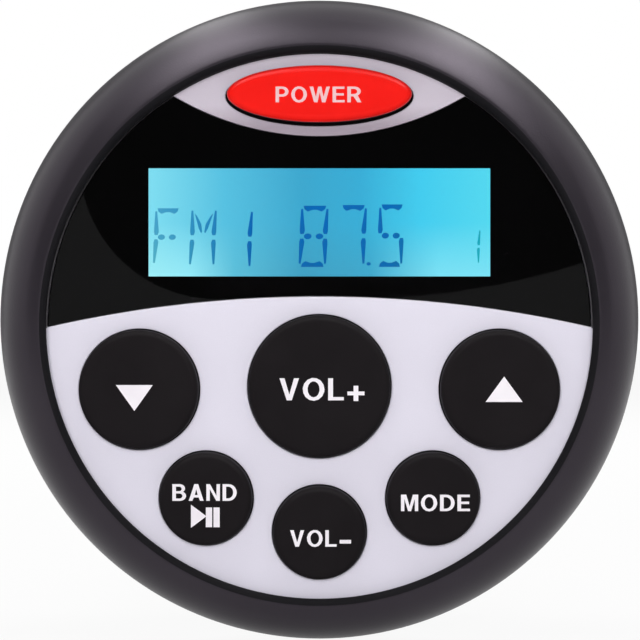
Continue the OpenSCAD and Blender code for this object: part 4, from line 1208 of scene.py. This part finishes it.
# %% Threaded studs
NECK, OVERLAP, RIDGE_SHARP = 0.4, 0.2, 30.0
for side, name in ((-1, "left"), (1, "right")):
    at = (side * STUD_X, 0.0)
    head = [(HEAD_R, stud_low.y), (HEAD_R, stud_low.y + HEAD_H)]
    blank = turned("stud_blank", head, at=at, sides=6)
    rod = turned(
        "stud_rod",
        [
            (STUD_R, stud_low.y + HEAD_H - OVERLAP),
            (STUD_R, THREAD_FROM - NECK),
            (CORE_R, THREAD_FROM),
            (CORE_R, stud_high.y - TIP),
            (CORE_R - TIP, stud_high.y),
        ],
        at=at,
        sides=SMALL_ROUND,
    )
    ridge = thread()
    ridge.location = (at[0] * MM, (THREAD_FROM + PITCH / 2) * MM, 0.0)
    settle()
    smooth(ridge, RIDGE_SHARP)
    blank.select_set(True)
    rod.select_set(True)
    bpy.ops.object.join()
    stud = christen(bpy.context.object, "stud_" + name)
    clad(stud, "clamp_steel", "stereo", "mounting_studs")
print("last stud:", stud.name, "with", len(stud.data.polygons), "faces")

# %% [markdown]
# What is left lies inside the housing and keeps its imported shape: boards, chips, cans, ribbon, seals
# and hidden screws. Each still gets the material of its slot, so that an opened or cut view is true.

# %% Materials of the pieces inside
plain = [node for node, piece in frame["nodes"].items() if not piece.hide_render]
for node in plain:
    for place in frame["nodes"][node].material_slots:
        place.material = finish[slot_of[node]]
print("packed shapes that show:", plain)

# %% [markdown]
# The photo is a shop picture on white, taken from straight ahead. The camera stands 0.43 m in front of
# the object's middle, a long lens fills the picture with it, and a small shift puts the outline where
# the photo has it.

# %% Camera
CAMERA_Y, LENS_MM, SENSOR = -0.428, 144.69, 36.0
SHIFT_X, SHIFT_Y = 0.00094, -0.000625
bpy.ops.object.camera_add(location=(0.0, CAMERA_Y, 0.0), rotation=(math.radians(90), 0.0, 0.0))
camera = bpy.context.object
camera.data.sensor_width = SENSOR
camera.data.lens = LENS_MM
camera.data.shift_x = SHIFT_X
camera.data.shift_y = SHIFT_Y
bpy.context.scene.camera = camera
print("camera at", tuple(round(c, 3) for c in camera.location))

# %% [markdown]
# The floor is white paper that takes the object's weight and a faint shadow. A Light Path node mixes
# in a plain white for rays from the camera, so that they see it almost white, and half as much of it
# for reflections.

# %% Floor
FLOOR_SIZE, FLOOR_GAP = 8.0, 0.05
PAPER_WHITE, PAPER_MIRRORED = 0.92, 0.5
bpy.ops.mesh.primitive_plane_add(size=FLOOR_SIZE, location=(0.0, 0.0, (ring_low.z - FLOOR_GAP) * MM))
floor = christen(bpy.context.object, "floor")
paper, paper_shader = start("floor", "white_paper", Base_Color=linear("#f4f4f4"), Roughness=0.9)[:2]
seen = add(paper, "LightPath", {}).outputs
white = add(paper, "Emission", {"Color": linear("#ffffff"), "Strength": 1.0})
rays = {0: seen["Is Glossy Ray"], 1: PAPER_MIRRORED, 2: seen["Is Camera Ray"]}
lit = add(paper, "Math", rays, operation="MULTIPLY_ADD")
part = add(paper, "Math", {0: lit, 1: PAPER_WHITE}, operation="MULTIPLY")
mixed = add(paper, "MixShader", {0: part, 1: paper_shader, 2: white})
add(paper, paper.node_tree.nodes["Material Output"], {"Surface": mixed})
floor.data.materials.append(paper)
print("floor at z =", round(floor.location.z, 4))

# %% [markdown]
# The world is white to the camera, to reflections and through clear pieces, but as a light it is much
# weaker, so that the lamps give the shapes their shading.

# %% World
SOFT_LIGHT = 0.16
world = bpy.data.worlds.new("white_room")
world.use_nodes = True
bpy.context.scene.world = world
seen = add(world, "LightPath", {}).outputs
direct = {0: seen["Is Camera Ray"], 1: seen["Is Glossy Ray"]}
direct = add(world, "Math", direct, operation="MAXIMUM")
shown = add(world, "Math", {0: direct, 1: seen["Is Transmission Ray"]}, operation="MAXIMUM")
level = add(world, "MapRange", {"Value": shown, "To Min": SOFT_LIGHT, "To Max": 1.0})
add(world, world.node_tree.nodes["Background"], {"Color": linear("#ffffff"), "Strength": level})
print("the world lights with", SOFT_LIGHT, "of its white")

# %% [markdown]
# Black glass shows whatever stands in front of it, so the photographer hangs a black card round the
# camera, with a grey one behind it. In the window the black card's lower edge shows as a soft change
# of tone, steep at the left and gentle at the right. The cards glow a little by themselves, so that
# their tone doesn't depend on the lamps, and the camera doesn't see them.

# %% Cards round the camera
CARD_Y, CARD_GAP, CARD = -1.0, 0.02, 2.6
GREY, BLACK = 0.12, 0.02
lens_y = lens_low.y * MM
SPREAD = (2 * lens_y - CARD_Y - camera.location.y) / (lens_y - camera.location.y)
LEFT, RIGHT, LOWER = -38.5 * SPREAD * MM, 129.0 * SPREAD * MM, 3.3 * SPREAD * MM
CORNERS = ((LEFT, 22.0), (RIGHT, 124.0))
CORNER_STEPS = 24


def card(name, level, size, place, lean, fade=1.0, lights=True):
    """Hangs a glowing card of a width and height in metres, out of the camera's sight."""
    bpy.ops.object.select_all(action="DESELECT")
    bpy.ops.mesh.primitive_plane_add(size=1.0, location=place, rotation=(math.radians(lean), 0.0, 0.0))
    bpy.ops.transform.resize(value=(*size, 1.0), orient_type="LOCAL")
    settle()
    piece = christen(bpy.context.object, name)
    dark = {"Base_Color": linear("#000000"), "Specular_IOR_Level": 0.0}
    material, shader, where = start(name, name, Emission_Color=linear("#ffffff"), **dark)
    axes = add(material, "SeparateXYZ", {"Vector": where})
    falls = add(material, "Math", {0: fade, 1: axes.outputs["Y"]}, operation="POWER")
    glow = add(material, "Math", {0: falls, 1: level}, operation="MULTIPLY")
    add(material, shader, {"Emission Strength": glow})
    piece.data.materials.append(material)
    piece.visible_camera = False
    piece.visible_diffuse = lights
    piece.visible_shadow = lights
    return piece


card("grey_card", GREY, (CARD, CARD), (0.0, CARD_Y - CARD_GAP, 0.0), 90.0)
black_card = card("black_card", BLACK, (CARD, CARD), (0.0, CARD_Y, 0.0), 90.0)
open_all()
bpy.ops.transform.resize(value=((RIGHT - LEFT) / CARD, 1.0, 1.0))
bpy.ops.transform.translate(value=((LEFT + RIGHT) / 2, 0.0, LOWER + CARD / 2))
for edge, radius in CORNERS:
    bpy.ops.mesh.select_all(action="DESELECT")
    bpy.ops.object.mode_set(mode="OBJECT")
    near = min(black_card.data.vertices, key=lambda v: abs(v.co.x - edge) + abs(v.co.z - LOWER))
    near.select = True
    bpy.ops.object.mode_set(mode="EDIT")
    bpy.ops.mesh.bevel(affect="VERTICES", offset=radius * SPREAD * MM, segments=CORNER_STEPS)
bpy.ops.object.mode_set(mode="OBJECT")
print("black card:", len(black_card.data.vertices), "corners, spread", round(SPREAD, 3))

# %% [markdown]
# Four soft boxes give the light itself: one in front, one above, and two behind for the views from
# there. They have no reflection of their own, so that glass and gloss show only the cards.

# %% Lamps
def lamp(name, place, power, size):
    """A lamp of a width and height in metres that lights the object's middle and has no reflection."""
    bpy.ops.object.light_add(type="AREA", location=place)
    piece = bpy.context.object
    piece.name = name
    piece.data.shape = "RECTANGLE"
    piece.data.size, piece.data.size_y = size
    piece.data.energy = power
    piece.rotation_euler = Vector(place).to_track_quat("Z", "Y").to_euler()
    piece.visible_camera = False
    piece.visible_glossy = False
    piece.visible_transmission = False


lamp("front_box", (-0.03, -0.9, 0.11), 5.9, (0.4, 0.3))
lamp("top_box", (0.0, -0.3, 0.9), 1.4, (0.5, 0.3))
lamp("rear_left_box", (-0.65, 0.7, 0.45), 5.0, (0.5, 0.5))
lamp("rear_right_box", (0.65, 0.7, 0.45), 5.0, (0.5, 0.5))

# %% [markdown]
# Two long glowing strips above the object draw the two broad patches on the shoulder of the ring, and
# are brighter towards the front. A dark card behind the object keeps the ring's outline crisp on
# white. All three are there for reflections, so they neither light plain surfaces nor cast a shadow,
# and the card behind doesn't show through clear pieces either.

# %% Strips and the card behind
STRIP, STRIP_AT, STRIP_LEAN, STRIP_FADE = (0.1, 1.52), (0.0, 0.2, 0.46), 5.0, 0.12
REAR_Y, REAR, REAR_GREY = 0.6, 1.25, 0.25
for name, azimuth, level in (("left_strip", -20.0, 5.7), ("right_strip", 27.0, 6.5)):
    strip = card(name, level, STRIP, STRIP_AT, STRIP_LEAN, fade=STRIP_FADE, lights=False)
    strip.rotation_euler = (0.0, math.radians(azimuth), 0.0)
    pick(strip)
    settle()
rear_card = card("rear_card", REAR_GREY, (REAR, REAR), (0.0, REAR_Y, 0.0), 90.0, lights=False)
rear_card.visible_transmission = False
bpy.context.scene.view_settings.view_transform = "Standard"
print("strips", STRIP[1], "m long, card behind", REAR, "m wide")
